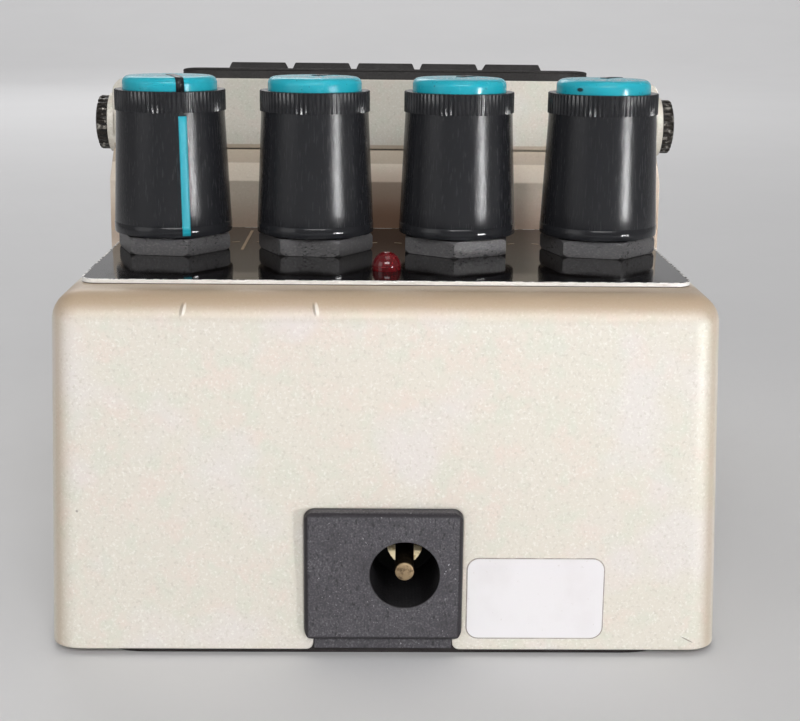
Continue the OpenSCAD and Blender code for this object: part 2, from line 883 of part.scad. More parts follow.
// A round bar with a flat on its far side, from one height to another
module flatted_bar(r, flat, z0, z1) {
    difference() {
        translate([0, 0, z0])
            cylinder(r = r, h = z1 - z0);
        box([-2 * r, -2 * r, z0 - over], [2 * r, -flat, z1 + over]);
    }
}

// A spindle, round in its bearing and flatted in its knob
module shaft(x, angle) {
    translate([x, knob_y, 0])
        rotate([0, 0, angle]) {
            translate([0, 0, shaft_z0])
                cylinder(r = shaft_r, h = flat_z0 - shaft_z0);
            flatted_bar(shaft_r, shaft_flat, flat_z0 - eps, shaft_z1);
        }
}

module mode_shaft() color([0.75, 0.75, 0.76])
    shaft(knob_x[0], mode_angle);

module time_shaft() color([0.75, 0.75, 0.76])
    shaft(knob_x[1], low_angle);

module feedback_shaft() color([0.75, 0.75, 0.76])
    shaft(knob_x[2], low_angle);

module level_shaft() color([0.75, 0.75, 0.76])
    shaft(knob_x[3], low_angle);

// Ribbed ring outline
function ribs(n, r, cut) = [
    for (i = [0:n - 1])
        for (k = [0:3])
            let (a = 360 * (i + [0, 0.3, 0.5, 0.8][k]) / n)
                (k < 2 ? r : r - cut) * [cos(a), sin(a)]
];

// A knob: hollow foot over the nut and bushing, tapered grip, ribbed band and pointer rib
module knob(x, angle) {
    hollow_r = bushing_r + spot_gap;
    hollow_z = flat_z0 + end_gap;
    band_z = knob_z0 + band_h;
    translate([x, knob_y, 0])
        rotate([0, 0, angle])
            difference() {
                union() {
                    rotate_extrude()
                        polygon([
                            [0, knob_z0],
                            [knob_r - knob_chamfer, knob_z0],
                            [knob_r, knob_z0 + knob_chamfer],
                            [knob_r, band_z],
                            [knob_r - knob_step, band_z + knob_step],
                            [grip_r, knurl_z0],
                            [grip_r, cap_z0],
                            [0, cap_z0]
                        ]);
                    translate([0, 0, knurl_z0])
                        linear_extrude(knurl_h)
                            polygon(ribs(knurl_n, knurl_r, knurl_cut));
                    translate([-pointer_w / 2, 0, cap_z0 - over])
                        cube([pointer_w, cap_r - cap_round, cap_h + over]);
                    translate([-pointer_w / 2, 0, cap_z0 - over])
                        cube([pointer_w, cap_r, cap_h + over - cap_round]);
                }
                translate([0, 0, knob_z0 - over])
                    cylinder(r = hollow_r, h = hollow_z - knob_z0 + over);
                flatted_bar(shaft_r + seat_gap / 2, shaft_flat + seat_gap / 2,
                    hollow_z - over, shaft_z1 + end_gap);
            }
}

// A coloured cap with a slot for the pointer rib
module cap(x, angle) {
    translate([x, knob_y, cap_z0])
        rotate([0, 0, angle])
            difference() {
                rotate_extrude()
                    polygon(concat(
                        [[0, 0], [cap_r, 0]],
                        [for (i = [0:6]) let (a = 15 * i)
                            [cap_r - cap_round + cap_round * cos(a), cap_h - cap_round + cap_round * sin(a)]],
                        [[0, cap_h]]
                    ));
                translate([-pointer_w / 2 - seat_gap, -seat_gap, -over])
                    cube([pointer_w + 2 * seat_gap, 2 * cap_r, cap_h + 2 * over]);
            }
}

module mode_knob() color([0.09, 0.09, 0.1])
    knob(knob_x[0], mode_angle);

module time_knob() color([0.09, 0.09, 0.1])
    knob(knob_x[1], low_angle);

module feedback_knob() color([0.09, 0.09, 0.1])
    knob(knob_x[2], low_angle);

module level_knob() color([0.09, 0.09, 0.1])
    knob(knob_x[3], low_angle);

module mode_cap() color([0.16, 0.66, 0.74])
    cap(knob_x[0], mode_angle);

module time_cap() color([0.16, 0.66, 0.74])
    cap(knob_x[1], low_angle);

module feedback_cap() color([0.16, 0.66, 0.74])
    cap(knob_x[2], low_angle);

module level_cap() color([0.16, 0.66, 0.74])
    cap(knob_x[3], low_angle);

// Boards and lamp

module control_board() color([0.2, 0.42, 0.25])
    box([-cavity_x + board_edge, wall_y + 2 * wall, board_z1 - board_t],
        [cavity_x - board_edge, cavity_y1 - board_edge, board_z1]);

module led() color([0.37, 0.08, 0.11])
    translate([0, lamp_y, 0])
        rotate_extrude() {
            translate([0, pot_z1 - lamp_flange_h])
                square([lamp_r + lamp_flange, lamp_flange_h]);
            translate([0, pot_z1 - lamp_flange_h])
                square([lamp_r, plate_z + lamp_h - lamp_r - pot_z1 + lamp_flange_h]);
            intersection() {
                translate([0, plate_z + lamp_h - lamp_r])
                    circle(lamp_r);
                translate([0, plate_z + lamp_h - lamp_r])
                    square(lamp_r);
            }
        }

module led_spacer() color([0.85, 0.85, 0.82])
    translate([0, lamp_y, board_z1])
        difference() {
            cylinder(r = lamp_r + lamp_flange, h = pot_z1 - lamp_flange_h - board_z1);
            translate([0, 0, -over])
                cylinder(r = lamp_lead_r, h = pot_z1);
        }

module main_board() color([0.2, 0.42, 0.25])
    box([-main_x, main_y0, main_z0], [main_x, main_y1, main_z1]);

module board_spacers() color([0.9, 0.9, 0.86])
    for (sx = [-1, 1])
        for (y = [main_y0 + spacer_in, main_y1 - spacer_in])
            translate([sx * (main_x - spacer_in), y, base_z1])
                cylinder(r = spacer_r, h = spacer_h);

module main_chips() color([0.12, 0.12, 0.13])
    for (p = chip_at)
        translate([p[0] * main_x, main_y0 + p[1] * (main_y1 - main_y0), main_z1 + chip_h / 2])
            along_x(chip_l)
                polygon([
                    [-chip_w / 2, -chip_h / 2],
                    [chip_w / 2, -chip_h / 2],
                    [chip_w / 2 - chip_draft, chip_h / 2],
                    [-chip_w / 2 + chip_draft, chip_h / 2]
                ]);

module capacitors() color([0.1, 0.12, 0.2])
    for (i = [0:cap_can_n - 1])
        translate([(i - (cap_can_n - 1) / 2) * cap_can_pitch,
            main_y0 + cap_can_row * (main_y1 - main_y0), main_z1])
            difference() {
                cylinder(r = cap_can_r, h = cap_can_h);
                translate([0, 0, cap_can_h])
                    cube([2 * cap_can_r, cap_vent_w, 2 * cap_vent_deep], center = true);
            }

// Jacks

// Places a jack piece that is drawn along +X, with its mouth outwards
module at_jack(i) {
    translate([0, jacks[i][1], jack_z])
        mirror([jacks[i][0] < 0 ? 1 : 0, 0, 0])
            children();
}

module jack_case(i) {
    at_jack(i)
        difference() {
            translate([jack_in - jack_l / 2, 0, 0])
                along_x(jack_l)
                    round_rect(jack_w, jack_h, jack_round);
            translate([jack_in - jack_l / 2 + over, 0, 0])
                bar_x(plug_r + plug_room, jack_l);
            translate([jack_in, 0, 0])
                bar_x(jack_bush_r + seat_gap, 2 * jack_seat);
        }
}

module jack_bush(i) {
    at_jack(i)
        translate([(jack_in - jack_seat + jack_out) / 2, 0, 0])
            difference() {
                bar_x(jack_bush_r, jack_out - jack_in + jack_seat);
                bar_x(plug_r, 2 * jack_l);
            }
}

module input_jack() color([0.13, 0.13, 0.14])
    jack_case(0);

module output_jack() color([0.13, 0.13, 0.14])
    jack_case(1);

module direct_jack() color([0.13, 0.13, 0.14])
    jack_case(2);

module input_bush() color([0.78, 0.78, 0.8])
    jack_bush(0);

module output_bush() color([0.78, 0.78, 0.8])
    jack_bush(1);

module direct_bush() color([0.78, 0.78, 0.8])
    jack_bush(2);

module jack_nuts() color([0.78, 0.78, 0.8])
    for (i = [0:2])
        at_jack(i)
            translate([jack_face + jack_washer_t, 0, 0])
                rotate([0, 90, 0])
                    difference() {
                        hexagon(jack_nut_af, jack_nut_t);
                        translate([0, 0, -over])
                            cylinder(r = jack_bush_r + seat_gap, h = jack_nut_t + 2 * over);
                    }

module jack_washers() color([0.15, 0.15, 0.16])
    for (i = [0:2])
        at_jack(i)
            translate([jack_face + jack_washer_t / 2, 0, 0])
                difference() {
                    bar_x(jack_washer_r, jack_washer_t);
                    bar_x(jack_bush_r + seat_gap, 2 * jack_washer_t);
                }

// Solder lugs of each jack, on the back of its case
module jack_contacts() color([0.85, 0.68, 0.3])
    for (i = [0:2])
        at_jack(i)
            for (z = [-jack_h / 4, jack_h / 4])
                box([jack_in - jack_l - lug_l, -lug_w / 2, z - lug_t / 2],
                    [jack_in - jack_l, lug_w / 2, z + lug_t / 2]);

// Power inlet

module inlet_block() color([0.28, 0.27, 0.29])
    difference() {
        union() {
            intersection() {
                translate([inlet_x, (inlet_y0 + inlet_y1) / 2, inlet_zc])
                    along_y(inlet_d)
                        round_rect(inlet_w, inlet_h, inlet_corner);
                translate([inlet_x, inlet_y1 - inlet_d, inlet_zc])
                    along_x(inlet_w)
                        round_rect(2 * inlet_d, inlet_h, inlet_round);
                translate([inlet_x, inlet_y1 - inlet_d, inlet_zc])
                    linear_extrude(inlet_h, center = true)
                        round_rect(inlet_w, 2 * inlet_d, inlet_round);
            }
            box([inlet_x - tongue_w / 2, rear_y - rim_w + 2 * seat_gap, foot_z + seat_gap],
                [inlet_x + tongue_w / 2, rear_y, inlet_z + inlet_corner + tongue_lap]);
        }
        translate([inlet_bore_x, inlet_y1 - inlet_bore_l, inlet_bore_z])
            rotate([-90, 0, 0])
                cylinder(r = inlet_bore_r, h = inlet_bore_l + over);
        translate([inlet_bore_x, inlet_y0 - over, inlet_bore_z])
            rotate([-90, 0, 0])
                cylinder(r = inlet_pin_r + seat_gap, h = inlet_d);
        for (sx = [-1, 1])
            translate([inlet_bore_x + sx * contact_x, inlet_y0 - over, inlet_bore_z + contact_z])
                box([-contact_w / 2 - seat_gap, 0, -contact_t / 2 - seat_gap],
                    [contact_w / 2 + seat_gap, inlet_d, contact_t / 2 + seat_gap]);
    }

module inlet_pin() color([0.8, 0.62, 0.3])
    translate([inlet_bore_x, inlet_y0 - pin_tail, inlet_bore_z])
        rotate([-90, 0, 0])
            rotate_extrude()
                polygon([
                    [0, 0],
                    [inlet_pin_r, 0],
                    [inlet_pin_r, inlet_d + pin_tail - pin_set - pin_tip],
                    [inlet_pin_r * pin_tip_share, inlet_d + pin_tail - pin_set],
                    [0, inlet_d + pin_tail - pin_set]
                ]);

module inlet_contacts() color([0.85, 0.68, 0.3])
    for (sx = [-1, 1])
        translate([inlet_bore_x + sx * contact_x, inlet_y0 - pin_tail, inlet_bore_z + contact_z])
            box([-contact_w / 2, 0, -contact_t / 2],
                [contact_w / 2, inlet_d + pin_tail - contact_set, contact_t / 2]);

// Treadle

// Side outline of the treadle, with the rear face upright in the rest position
module treadle_side() {
    intersection() {
        union() {
            circle(ear_r);
            translate([-treadle_l + nose_r, -ear_r])
                square([treadle_l - nose_r, top_h + ear_r]);
            translate([-treadle_l, -ear_r])
                square([2 * nose_r, top_h + ear_r - nose_r]);
            translate([-treadle_l + nose_r, top_h - nose_r])
                circle(nose_r);
            translate([-eps, 0])
                square([2 * rear_reach, top_h]);
        }
        rotate(-tilt)
            translate([rear_reach - 2 * treadle_l, -treadle_l])
                square([2 * treadle_l, 2 * treadle_l]);
    }
}

// End outline of the treadle, with rounded long edges
module treadle_end() {
    translate([0, top_h - treadle_w / 2])
        round_rect(treadle_w, treadle_w, treadle_round);
}

module treadle_blank() {
    intersection() {
        along_x(treadle_w)
            treadle_side();
        along_y(3 * treadle_l)
            treadle_end();
        translate([0, 0, -treadle_l])
            linear_extrude(2 * treadle_l)
                round_rect(treadle_w, 2 * treadle_l, corner_r);
    }
}

module treadle() color([0.88, 0.86, 0.8])
    on_treadle()
        difference() {
            union() {
                difference() {
                    treadle_blank();
                    box([-ear_in, -treadle_l + skirt_t, -2 * ear_r], [ear_in, 3 * rear_reach, under_h]);
                }
                intersection() {
                    along_x(2 * lip_half)
                        rear_lip();
                    along_x(treadle_w)
                        translate([-treadle_l, -treadle_l])
                            square([2 * treadle_l, treadle_l + top_h]);
                }
                intersection() {
                    treadle_blank();
                    translate([0, thumb_y, ledge_under])
                        cylinder(r = notch_r + notch_wall, h = 2 * deck_drop);
                }
                translate([switch_x, -switch_reach, post_end])
                    cylinder(r = boot_post_r, h = under_h - post_end + eps);
                translate([-switch_x, -switch_reach, under_h - spring_boss_h])
                    cylinder(r = spring_boss_r, h = spring_boss_h + eps);
                for (sx = [-1, 1])
                    translate([sx * (treadle_w / 2 - eps + ear_pad / 2), 0, 0])
                        bar_x(ear_pad_r, ear_pad + 2 * eps);
            }
            bar_x(pivot_bush_r, 2 * treadle_w);
            translate([0, thumb_y, notch_floor]) {
                cylinder(r = notch_r, h = 2 * deck_drop);
                box([-notch_r, -3 * notch_r, 0], [notch_r, 0, 2 * deck_drop]);
            }
            translate([0, thumb_y, ledge_under - over])
                cylinder(r = thumb_r + thumb_hole_gap, h = 2 * ledge_t);
        }

// The upright rear wall between the hinge bosses, hanging from the treadle's top
module rear_lip() {
    rotate(-tilt)
        translate([rear_reach - lip_t, -lip_drop])
            square([lip_t, lip_drop + top_rise]);
}

module treadle_pad() color([0.12, 0.1, 0.1])
    on_treadle()
        translate([0, -pad_start - pad_l / 2, top_h]) {
            linear_extrude(pad_t)
                round_rect(pad_w, pad_l, pad_corner_r);
            translate([0, 0, pad_t])
                intersection() {
                    along_y(pad_l)
                        blocks(block_nx);
                    rotate([0, 0, 90])
                        along_y(pad_w)
                            blocks(block_ny);
                }
        }

// A row of raised blocks with sloping flanks
module blocks(n) {
    for (i = [0:n - 1])
        translate([(i - (n - 1) / 2) * block_pitch, 0])
            polygon([
                [-block_half, -eps],
                [block_half, -eps],
                [block_half - block_slope, block_h],
                [-block_half + block_slope, block_h]
            ]);
}

// Cross recess screws: the pins of the hinge
module pivot_screws() color([0.1, 0.1, 0.1])
    for (sx = [-1, 1])
        translate([0, pivot_y, pivot_z])
            mirror([sx < 0 ? 1 : 0, 0, 0])
                difference() {
                    rotate([0, 90, 0])
                        rotate_extrude()
                            polygon(concat(
                                [[0, coaming_out - boss_l], [pivot_r, coaming_out - boss_l]],
                                [[pivot_r, head_x], [pivot_head_r, head_x]],
                                [for (a = [0:22.5:90])
                                    [pivot_head_r - head_round + head_round * cos(a),
                                        head_x + pivot_head_t - head_round + head_round * sin(a)]],
                                [[0, head_x + pivot_head_t]]
                            ));
                    for (a = [0, 90])
                        translate([head_x + pivot_head_t, 0, 0])
                            rotate([a, 0, 0])
                                cube([2 * pivot_cross_deep, pivot_cross_w, pivot_cross_l], center = true);
                }

module pivot_bushes() color([0.92, 0.92, 0.88])
    for (sx = [-1, 1])
        translate([sx * (treadle_w / 2 + ear_pad - pivot_bush_l / 2), pivot_y, pivot_z])
            difference() {
                bar_x(pivot_bush_r - seat_gap / 2, pivot_bush_l);
                bar_x(pivot_r + run_gap, treadle_w);
            }

// Thumbscrew

module thumbscrew() color([0.1, 0.1, 0.1])
    on_treadle()
        translate([0, thumb_y, 0]) {
            translate([0, 0, notch_floor + thumb_washer_t])
                linear_extrude(thumb_head_h)
                    polygon(ribs(thumb_grooves, thumb_head_r, thumb_cut));
            translate([0, 0, thumb_end])
                cylinder(r = thumb_r, h = notch_floor + thumb_washer_t - thumb_end + eps);
        }

module thumb_washer() color([0.9, 0.9, 0.85])
    on_treadle()
        translate([0, thumb_y, notch_floor])
            difference() {
                cylinder(r = thumb_head_r - thumb_washer_set, h = thumb_washer_t);
                translate([0, 0, -over])
                    cylinder(r = thumb_r + run_gap, h = thumb_washer_t + 2 * over);
            }

module thumb_clip() color([0.55, 0.55, 0.57])
    on_treadle()
        translate([0, thumb_y, clip_top - clip_t])
            difference() {
                cylinder(r = clip_r, h = clip_t);
                translate([0, 0, -over])
                    cylinder(r = thumb_r + seat_gap / 2, h = clip_t + 2 * over);
                box([-clip_slot, -2 * clip_r, -over], [clip_slot, 0, clip_t + over]);
            }

// Foot switch and spring

module foot_switch() color([0.14, 0.14, 0.15])
    on_treadle()
        translate([switch_x, -switch_reach, -deck_under - switch_h])
            linear_extrude(switch_h)
                round_rect(switch_w, switch_w, switch_round);

module switch_boot() color([0.16, 0.14, 0.14])
    on_treadle()
        translate([switch_x, -switch_reach, -deck_under])
            rotate_extrude()
                polygon([
                    [0, 0],
                    [boot_r, 0],
                    [boot_r, boot_collar_h],
                    [boot_r - boot_step, boot_collar_h + boot_chamfer],
                    [boot_r - boot_step, boot_top],
                    [0, boot_top]
                ]);

// Points along the spring's wire: a plain helix between deck and treadle
function spring_at(t) = [
    spring_r * cos(360 * spring_n * t),
    spring_r * sin(360 * spring_n * t),
    spring_low + (spring_high - spring_low) * t
];
spring_path = [for (i = [0:spring_steps]) spring_at(i / spring_steps)];

// Ring of points round the wire, in the plane of the spring's axis and radius
function wire_ring(i) =
    let (a = 360 * spring_n * i / spring_steps, out = [cos(a), sin(a), 0], up = [0, 0, 1])
        [for (k = [0:spring_sides - 1])
            let (b = 360 * k / spring_sides)
                spring_path[i] + wire_r * (cos(b) * out + sin(b) * up)];

spring_gap = min([
    for (i = [0:spring_steps - spring_turn_steps])
        norm(spring_path[i + spring_turn_steps] - spring_path[i])
]) - 2 * wire_r;
echo(spring_least_gap = spring_gap);

module return_spring() color([0.7, 0.7, 0.72]) {
    s = spring_sides;
    points = [for (i = [0:spring_steps]) each wire_ring(i)];
    sides = [
        for (i = [0:spring_steps - 1])
            for (k = [0:s - 1])
                let (a = i * s + k, b = i * s + (k + 1) % s)
                    each [[a, b, b + s], [a, b + s, a + s]]
    ];
    ends = [
        for (k = [1:s - 2])
            each [[0, k + 1, k], [spring_steps * s, spring_steps * s + k, spring_steps * s + k + 1]]
    ];
    on_treadle()
        translate([-switch_x, -switch_reach, 0])
            polyhedron(points, concat(sides, ends));
}

housing();
base_plate();
base_rubber();
base_screws();
control_plate();
control_nuts();
mode_switch();
time_pot();
feedback_pot();
level_pot();
mode_shaft();
time_shaft();
feedback_shaft();
level_shaft();
mode_knob();
time_knob();
feedback_knob();
level_knob();
mode_cap();
time_cap();
feedback_cap();
level_cap();
control_board();
led();
led_spacer();
main_board();
board_spacers();
main_chips();
capacitors();
input_jack();
output_jack();
direct_jack();
input_bush();
output_bush();
direct_bush();
jack_nuts();
jack_washers();
jack_contacts();
inlet_block();
inlet_pin();
inlet_contacts();
treadle();
treadle_pad();
pivot_screws();
pivot_bushes();
thumbscrew();
thumb_washer();
thumb_clip();
return_spring();
foot_switch();
switch_boot();
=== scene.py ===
"""Looks of a compact delay pedal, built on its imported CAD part.

Sizes are in millimetres, in the part's own frame, until a mesh is made; Blender's objects are in metres.
"""

import json
import math

import bmesh
import bpy
from mathutils import Matrix, Vector


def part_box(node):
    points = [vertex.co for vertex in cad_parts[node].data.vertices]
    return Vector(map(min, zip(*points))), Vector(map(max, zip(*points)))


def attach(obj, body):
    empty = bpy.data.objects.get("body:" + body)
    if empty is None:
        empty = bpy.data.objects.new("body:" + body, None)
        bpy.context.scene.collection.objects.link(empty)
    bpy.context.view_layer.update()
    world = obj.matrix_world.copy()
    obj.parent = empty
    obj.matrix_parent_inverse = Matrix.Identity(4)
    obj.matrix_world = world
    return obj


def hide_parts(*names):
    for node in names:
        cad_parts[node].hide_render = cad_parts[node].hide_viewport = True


MM = 0.001

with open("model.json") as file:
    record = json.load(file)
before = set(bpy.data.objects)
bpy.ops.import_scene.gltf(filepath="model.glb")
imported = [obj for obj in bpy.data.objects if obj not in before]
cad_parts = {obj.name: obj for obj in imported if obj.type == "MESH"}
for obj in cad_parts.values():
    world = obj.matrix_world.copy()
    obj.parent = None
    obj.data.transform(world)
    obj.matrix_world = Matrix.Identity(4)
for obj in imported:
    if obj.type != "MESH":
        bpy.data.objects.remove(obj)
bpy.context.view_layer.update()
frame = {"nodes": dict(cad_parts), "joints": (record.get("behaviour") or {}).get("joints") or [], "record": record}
record = frame["record"]


def span(node):
    """Lowest and highest corner of a CAD node."""
    low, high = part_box(node)
    return low / MM, high / MM


def joint(name):
    """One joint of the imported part."""
    return next(j for j in frame["joints"] if j["name"] == name)


# Places that come from the frame
HINGE = Vector(joint("treadle_hinge")["pos_m"]) / MM
TREADLE_UP = joint("thumb_turn")["axis"]
TREADLE_TILT = math.atan2(-TREADLE_UP[1], TREADLE_UP[2])
TREADLE_FRAME = Matrix.Translation(HINGE) @ Matrix.Rotation(TREADLE_TILT, 4, "X")
DIALS = ("mode", "time", "feedback", "level")
FOOT_Z = span("housing")[0].z
REAR_Y = span("housing")[1].y
PLATE_LOW, PLATE_HIGH = span("control_plate")
DECK_Z, PLATE_TOP = PLATE_LOW.z, PLATE_HIGH.z
PIN_LOW, PIN_HIGH = span("inlet_pin")
PIN_X, PIN_Z = (PIN_LOW.x + PIN_HIGH.x) / 2, (PIN_LOW.z + PIN_HIGH.z) / 2
SLOT_OF = {s["node"]: s["material_slot"] for s in record["subparts"]}
BODY_OF = {node: body for body, members in record["behaviour"]["bodies"].items() for node in members}

# Meshes: the angle in degrees past which an edge is sharp, and the steps of a rounded edge
SHARP_ANGLE = 35
EDGE_STEPS = 2

# Copies of CAD surfaces: the distance within which points are joined, and the degrees within which faces are
WELD = 0.0005
FLAT_ANGLE = 0.5

# How far print, lines and trim stand off the surface that carries them
PROUD = 0.03

# Knobs: the foot band, the tapered side, the ribbed band and the cap
KNOB_FOOT_R = (span("mode_knob")[1].x - span("mode_knob")[0].x) / 2
KNOB_BAND_H = 1.27
KNOB_TOP_R = 6.35
KNOB_HOLLOW_R = 5.1
KNOB_HOLLOW_H = 3.2
KNURL_R = 6.5
KNURL_H = 2.4
KNURL_CUT = 0.14
KNURL_RIBS = 74
RIB_SHAPE = (0, 0, 0.5, 1, 1, 0.5)
CAP_R = 5.55
CAP_ROUND = 0.8
CAP_DOME = 0.1
CAP_SEAT = 0.15
CAP_SIDES = 96

# Pointers: width, thickness of the line down the side, and the gaps below and above that line
POINTER_W = 0.95
LINE_T = 0.05
LINE_GAP_BELOW = 0.25
LINE_GAP_ABOVE = 0.35

# Turn of each pointer in degrees from straight back, towards the level control
POINTER_TURN = {"mode": 20.0, "time": 150.0, "feedback": 150.0, "level": 150.0}

# Rear face of the casting: its place at the foot, and how far it leans in for each millimetre of height
REAR_FOOT_Y = 63.5
REAR_LEAN = 1.2 / 36.1

# Radius of the painted shade that blacks out the power inlet's bore, drawn just wider than the bore
INLET_SHADE_R = 3.79

# Heights on the casting: its upper rear rounding, browned by painted shade, and two stripes under the hinge:
# painted shade above and painted warm light below
ROUNDING_Z = (37.0, 39.5)
HINGE_SHADE_Z = (48.8, 51.0)
HINGE_LIGHT_Z = (40.0, 48.7)

# Foot switch and spring: their distances from the middle and from the hinge, in the treadle's frame
SWITCH_X = 13.0
SWITCH_REACH = 56.0

# Heights in the treadle's frame: the spring's seat, the treadle's underside and the plunger's foot
SPRING_SEAT = -9.0
TREADLE_UNDERSIDE = 3.577
PLUNGER_FOOT = -11.5

# Room above the spring and the plunger for the treadle's press
PRESS_ROOM = 2.1

# A reach that covers the whole part
WHOLE = 400

# Colours, linear: paint
CREAM = (0.745, 0.705, 0.620)
CREAM_ROSE = (0.775, 0.680, 0.605)
CREAM_GREEN = (0.700, 0.705, 0.605)
CREAM_LILAC = (0.770, 0.725, 0.700)
CREAM_LIGHT = (0.900, 0.880, 0.820)
CREAM_DARK = (0.560, 0.520, 0.440)
# Painted shade, brown, for the casting's rear edges and the upper slope under the hinge
CREAM_EDGE_SHADE = (0.440, 0.310, 0.190)
# Painted warm light on the lower slope and wall under the hinge
CREAM_WARM_LIGHT = (0.890, 0.720, 0.550)
# Painted shade, warm brown, on the wall behind the plate
CREAM_SHADED = (0.360, 0.190, 0.115)
# Dark brown: a real scratch in the paint, and painted shade in the corners and on the wall behind the plate
GRIME_AND_SHADE = (0.170, 0.115, 0.080)
NICK = (0.200, 0.170, 0.130)

# Colours, linear: controls and their plate
PLATE_BLACK = (0.006, 0.005, 0.005)
SCRATCH = (0.060, 0.055, 0.055)
CROSS_SCRATCH = (0.050, 0.046, 0.046)
PRINT = (0.420, 0.310, 0.200)
PRINT_WORN = (0.260, 0.190, 0.120)
BARE_METAL = (0.930, 0.915, 0.890)
BARE_METAL_DULL = (0.720, 0.690, 0.650)
EDGE_SHADOW = (0.020, 0.015, 0.012)
BLACK = (0.007, 0.007, 0.008)
NUT = (0.110, 0.107, 0.110)
NUT_WORN = (0.270, 0.265, 0.265)
NUT_PIT = (0.022, 0.021, 0.022)
KNOB = (0.017, 0.0175, 0.020)
KNOB_STREAK = (0.024, 0.025, 0.029)
TEAL = (0.018, 0.395, 0.503)
TEAL_LIGHT = (0.035, 0.420, 0.510)
TEAL_SPECK = (0.010, 0.130, 0.170)
TEAL_CHIP = (0.006, 0.030, 0.040)
LENS = (0.190, 0.004, 0.008)
LENS_DEEP = (0.120, 0.003, 0.006)

# Colours, linear: rubber, metal and moulded parts
TREAD, TREAD_PALE = (0.014, 0.012, 0.012), (0.032, 0.028, 0.028)
SHEET, SHEET_PALE = (0.018, 0.013, 0.013), (0.034, 0.028, 0.028)
SCREW, SCREW_WORN = (0.020, 0.019, 0.018), (0.160, 0.150, 0.130)
RIM, RIM_WORN = (0.030, 0.026, 0.022), (0.420, 0.400, 0.360)
STEEL, STEEL_DARK = (0.480, 0.480, 0.500), (0.300, 0.300, 0.310)
NICKEL, NICKEL_DARK = (0.660, 0.650, 0.630), (0.450, 0.440, 0.420)
BRASS, BRASS_DARK = (0.620, 0.430, 0.180), (0.380, 0.250, 0.100)
PIN_BRASS, PIN_DIRT = (0.400, 0.290, 0.170), (0.100, 0.065, 0.035)
LEAF_BRASS, LEAF_DIRT = (0.800, 0.690, 0.460), (0.420, 0.290, 0.130)
# Painted shade, near black, on the pin inside the inlet's bore
DEEP_SHADE = (0.012, 0.009, 0.006)
JACK, JACK_PALE = (0.013, 0.013, 0.014), (0.026, 0.026, 0.028)
CASE, CASE_PALE = (0.170, 0.170, 0.160), (0.240, 0.240, 0.220)
NYLON, NYLON_OLD = (0.700, 0.690, 0.620), (0.600, 0.580, 0.500)
CHIP, CHIP_PALE = (0.012, 0.012, 0.013), (0.030, 0.030, 0.032)
BOARD, BOARD_TRACK = (0.035, 0.110, 0.045), (0.060, 0.200, 0.080)
INLET = (0.074, 0.071, 0.079)
INLET_GRAIN = (0.165, 0.158, 0.170)
INLET_FLECK = (0.030, 0.028, 0.033)
INLET_PATCH = (0.052, 0.048, 0.055)
# Painted shade on the inlet block's rounded edges
INLET_EDGE_SHADE = (0.016, 0.013, 0.017)
# Painted shade, near black, inside the inlet's bore
INLET_BORE_SHADE = (0.004, 0.004, 0.004)
DUST = (0.450, 0.440, 0.460)
LINT = (0.340, 0.330, 0.350)

# Colours, linear: the blank label and the floor
LABEL = (0.820, 0.800, 0.810)
LABEL_SHADE = (0.720, 0.690, 0.690)
LABEL_SPECK = (0.620, 0.580, 0.550)
FILM, FILM_PALE = (0.330, 0.290, 0.260), (0.550, 0.500, 0.430)
FLOOR, FLOOR_SHADE = (0.700, 0.700, 0.710), (0.670, 0.670, 0.680)

# Marks in the paint: place, half size, lean in degrees and colour
PAINT_NICKS = (
    ((21.4, 62.0, 38.4), (0.20, 1.5, 0.85), -12, NICK),
    ((21.1, 62.0, 38.4), (0.20, 1.5, 0.80), -12, CREAM_LIGHT),
    ((7.6, 62.0, 38.5), (0.18, 1.5, 0.80), 12, NICK),
    ((7.3, 62.0, 38.5), (0.24, 1.5, 0.85), 12, CREAM_LIGHT),
    ((33.0, 62.6, 16.5), (0.20, 0.8, 0.20), 0, NICK),
    ((-35.6, 60.6, 3.0), (0.50, 0.8, 0.70), 0, NICK),
    ((-33.2, 63.2, 2.0), (0.95, 1.0, 0.09), -28, GRIME_AND_SHADE),
)

# Painted shade where the plate meets the wall behind it: reach along the wall, reach upwards, amount and colour
WALL_SHADE = (
    (14, 11.5, 0.9, CREAM_SHADED),
    (14, 4.0, 0.7, GRIME_AND_SHADE),
    (WHOLE, 5.0, 0.5, CREAM_SHADED),
)

# The chip in the level control's cap: its place across the part and above the cap's foot, and its half size
CAP_CHIP_XY = (-22.2, 40.6)
CAP_CHIP_RISE = 0.55
CAP_CHIP_SIZE = (0.5, 0.5, 0.28)

# Lamps, in metres and watts: name, place, aim, size, power and spread in degrees
MIDDLE = (0, 0.03, 0.03)
LAMPS = (
    ("key", (-0.05, 0.78, 0.5), MIDDLE, (0.6, 0.25), 3.6, 180),
    ("side", (-0.47, 0.47, 0.025), (-0.01, 0.036, 0.05), (0.09, 0.035), 0.032, 25),
    ("left", (0.7, 0.55, 0.3), MIDDLE, (0.5, 0.5), 0.9, 180),
    ("top", (-0.1, 0.25, 0.9), MIDDLE, (0.5, 0.5), 1.0, 180),
    ("front", (0.25, -0.8, 0.55), MIDDLE, (0.5, 0.4), 1.5, 180),
    ("backdrop", (0, -0.7, 1.3), (0, -2.2, 0.5), (2.0, 0.5), 15.0, 180),
)
WORLD_COLOUR = (1.0, 0.98, 0.96, 1)
WORLD_STRENGTH = 0.28

# Camera: a pinhole solved from the pedal's straight edges, angles in degrees, focal length in pixels
CAMERA_PLACE = (1.1, 204.9, 69.8)
CAMERA_PITCH, CAMERA_YAW, CAMERA_ROLL = 14.4, 1.0, -0.6
FOCAL_PX, IMAGE_W_PX = 1405.0, 800.0
SENSOR_W = 36.0
CLIP_M = (0.005, 50.0)


# Materials


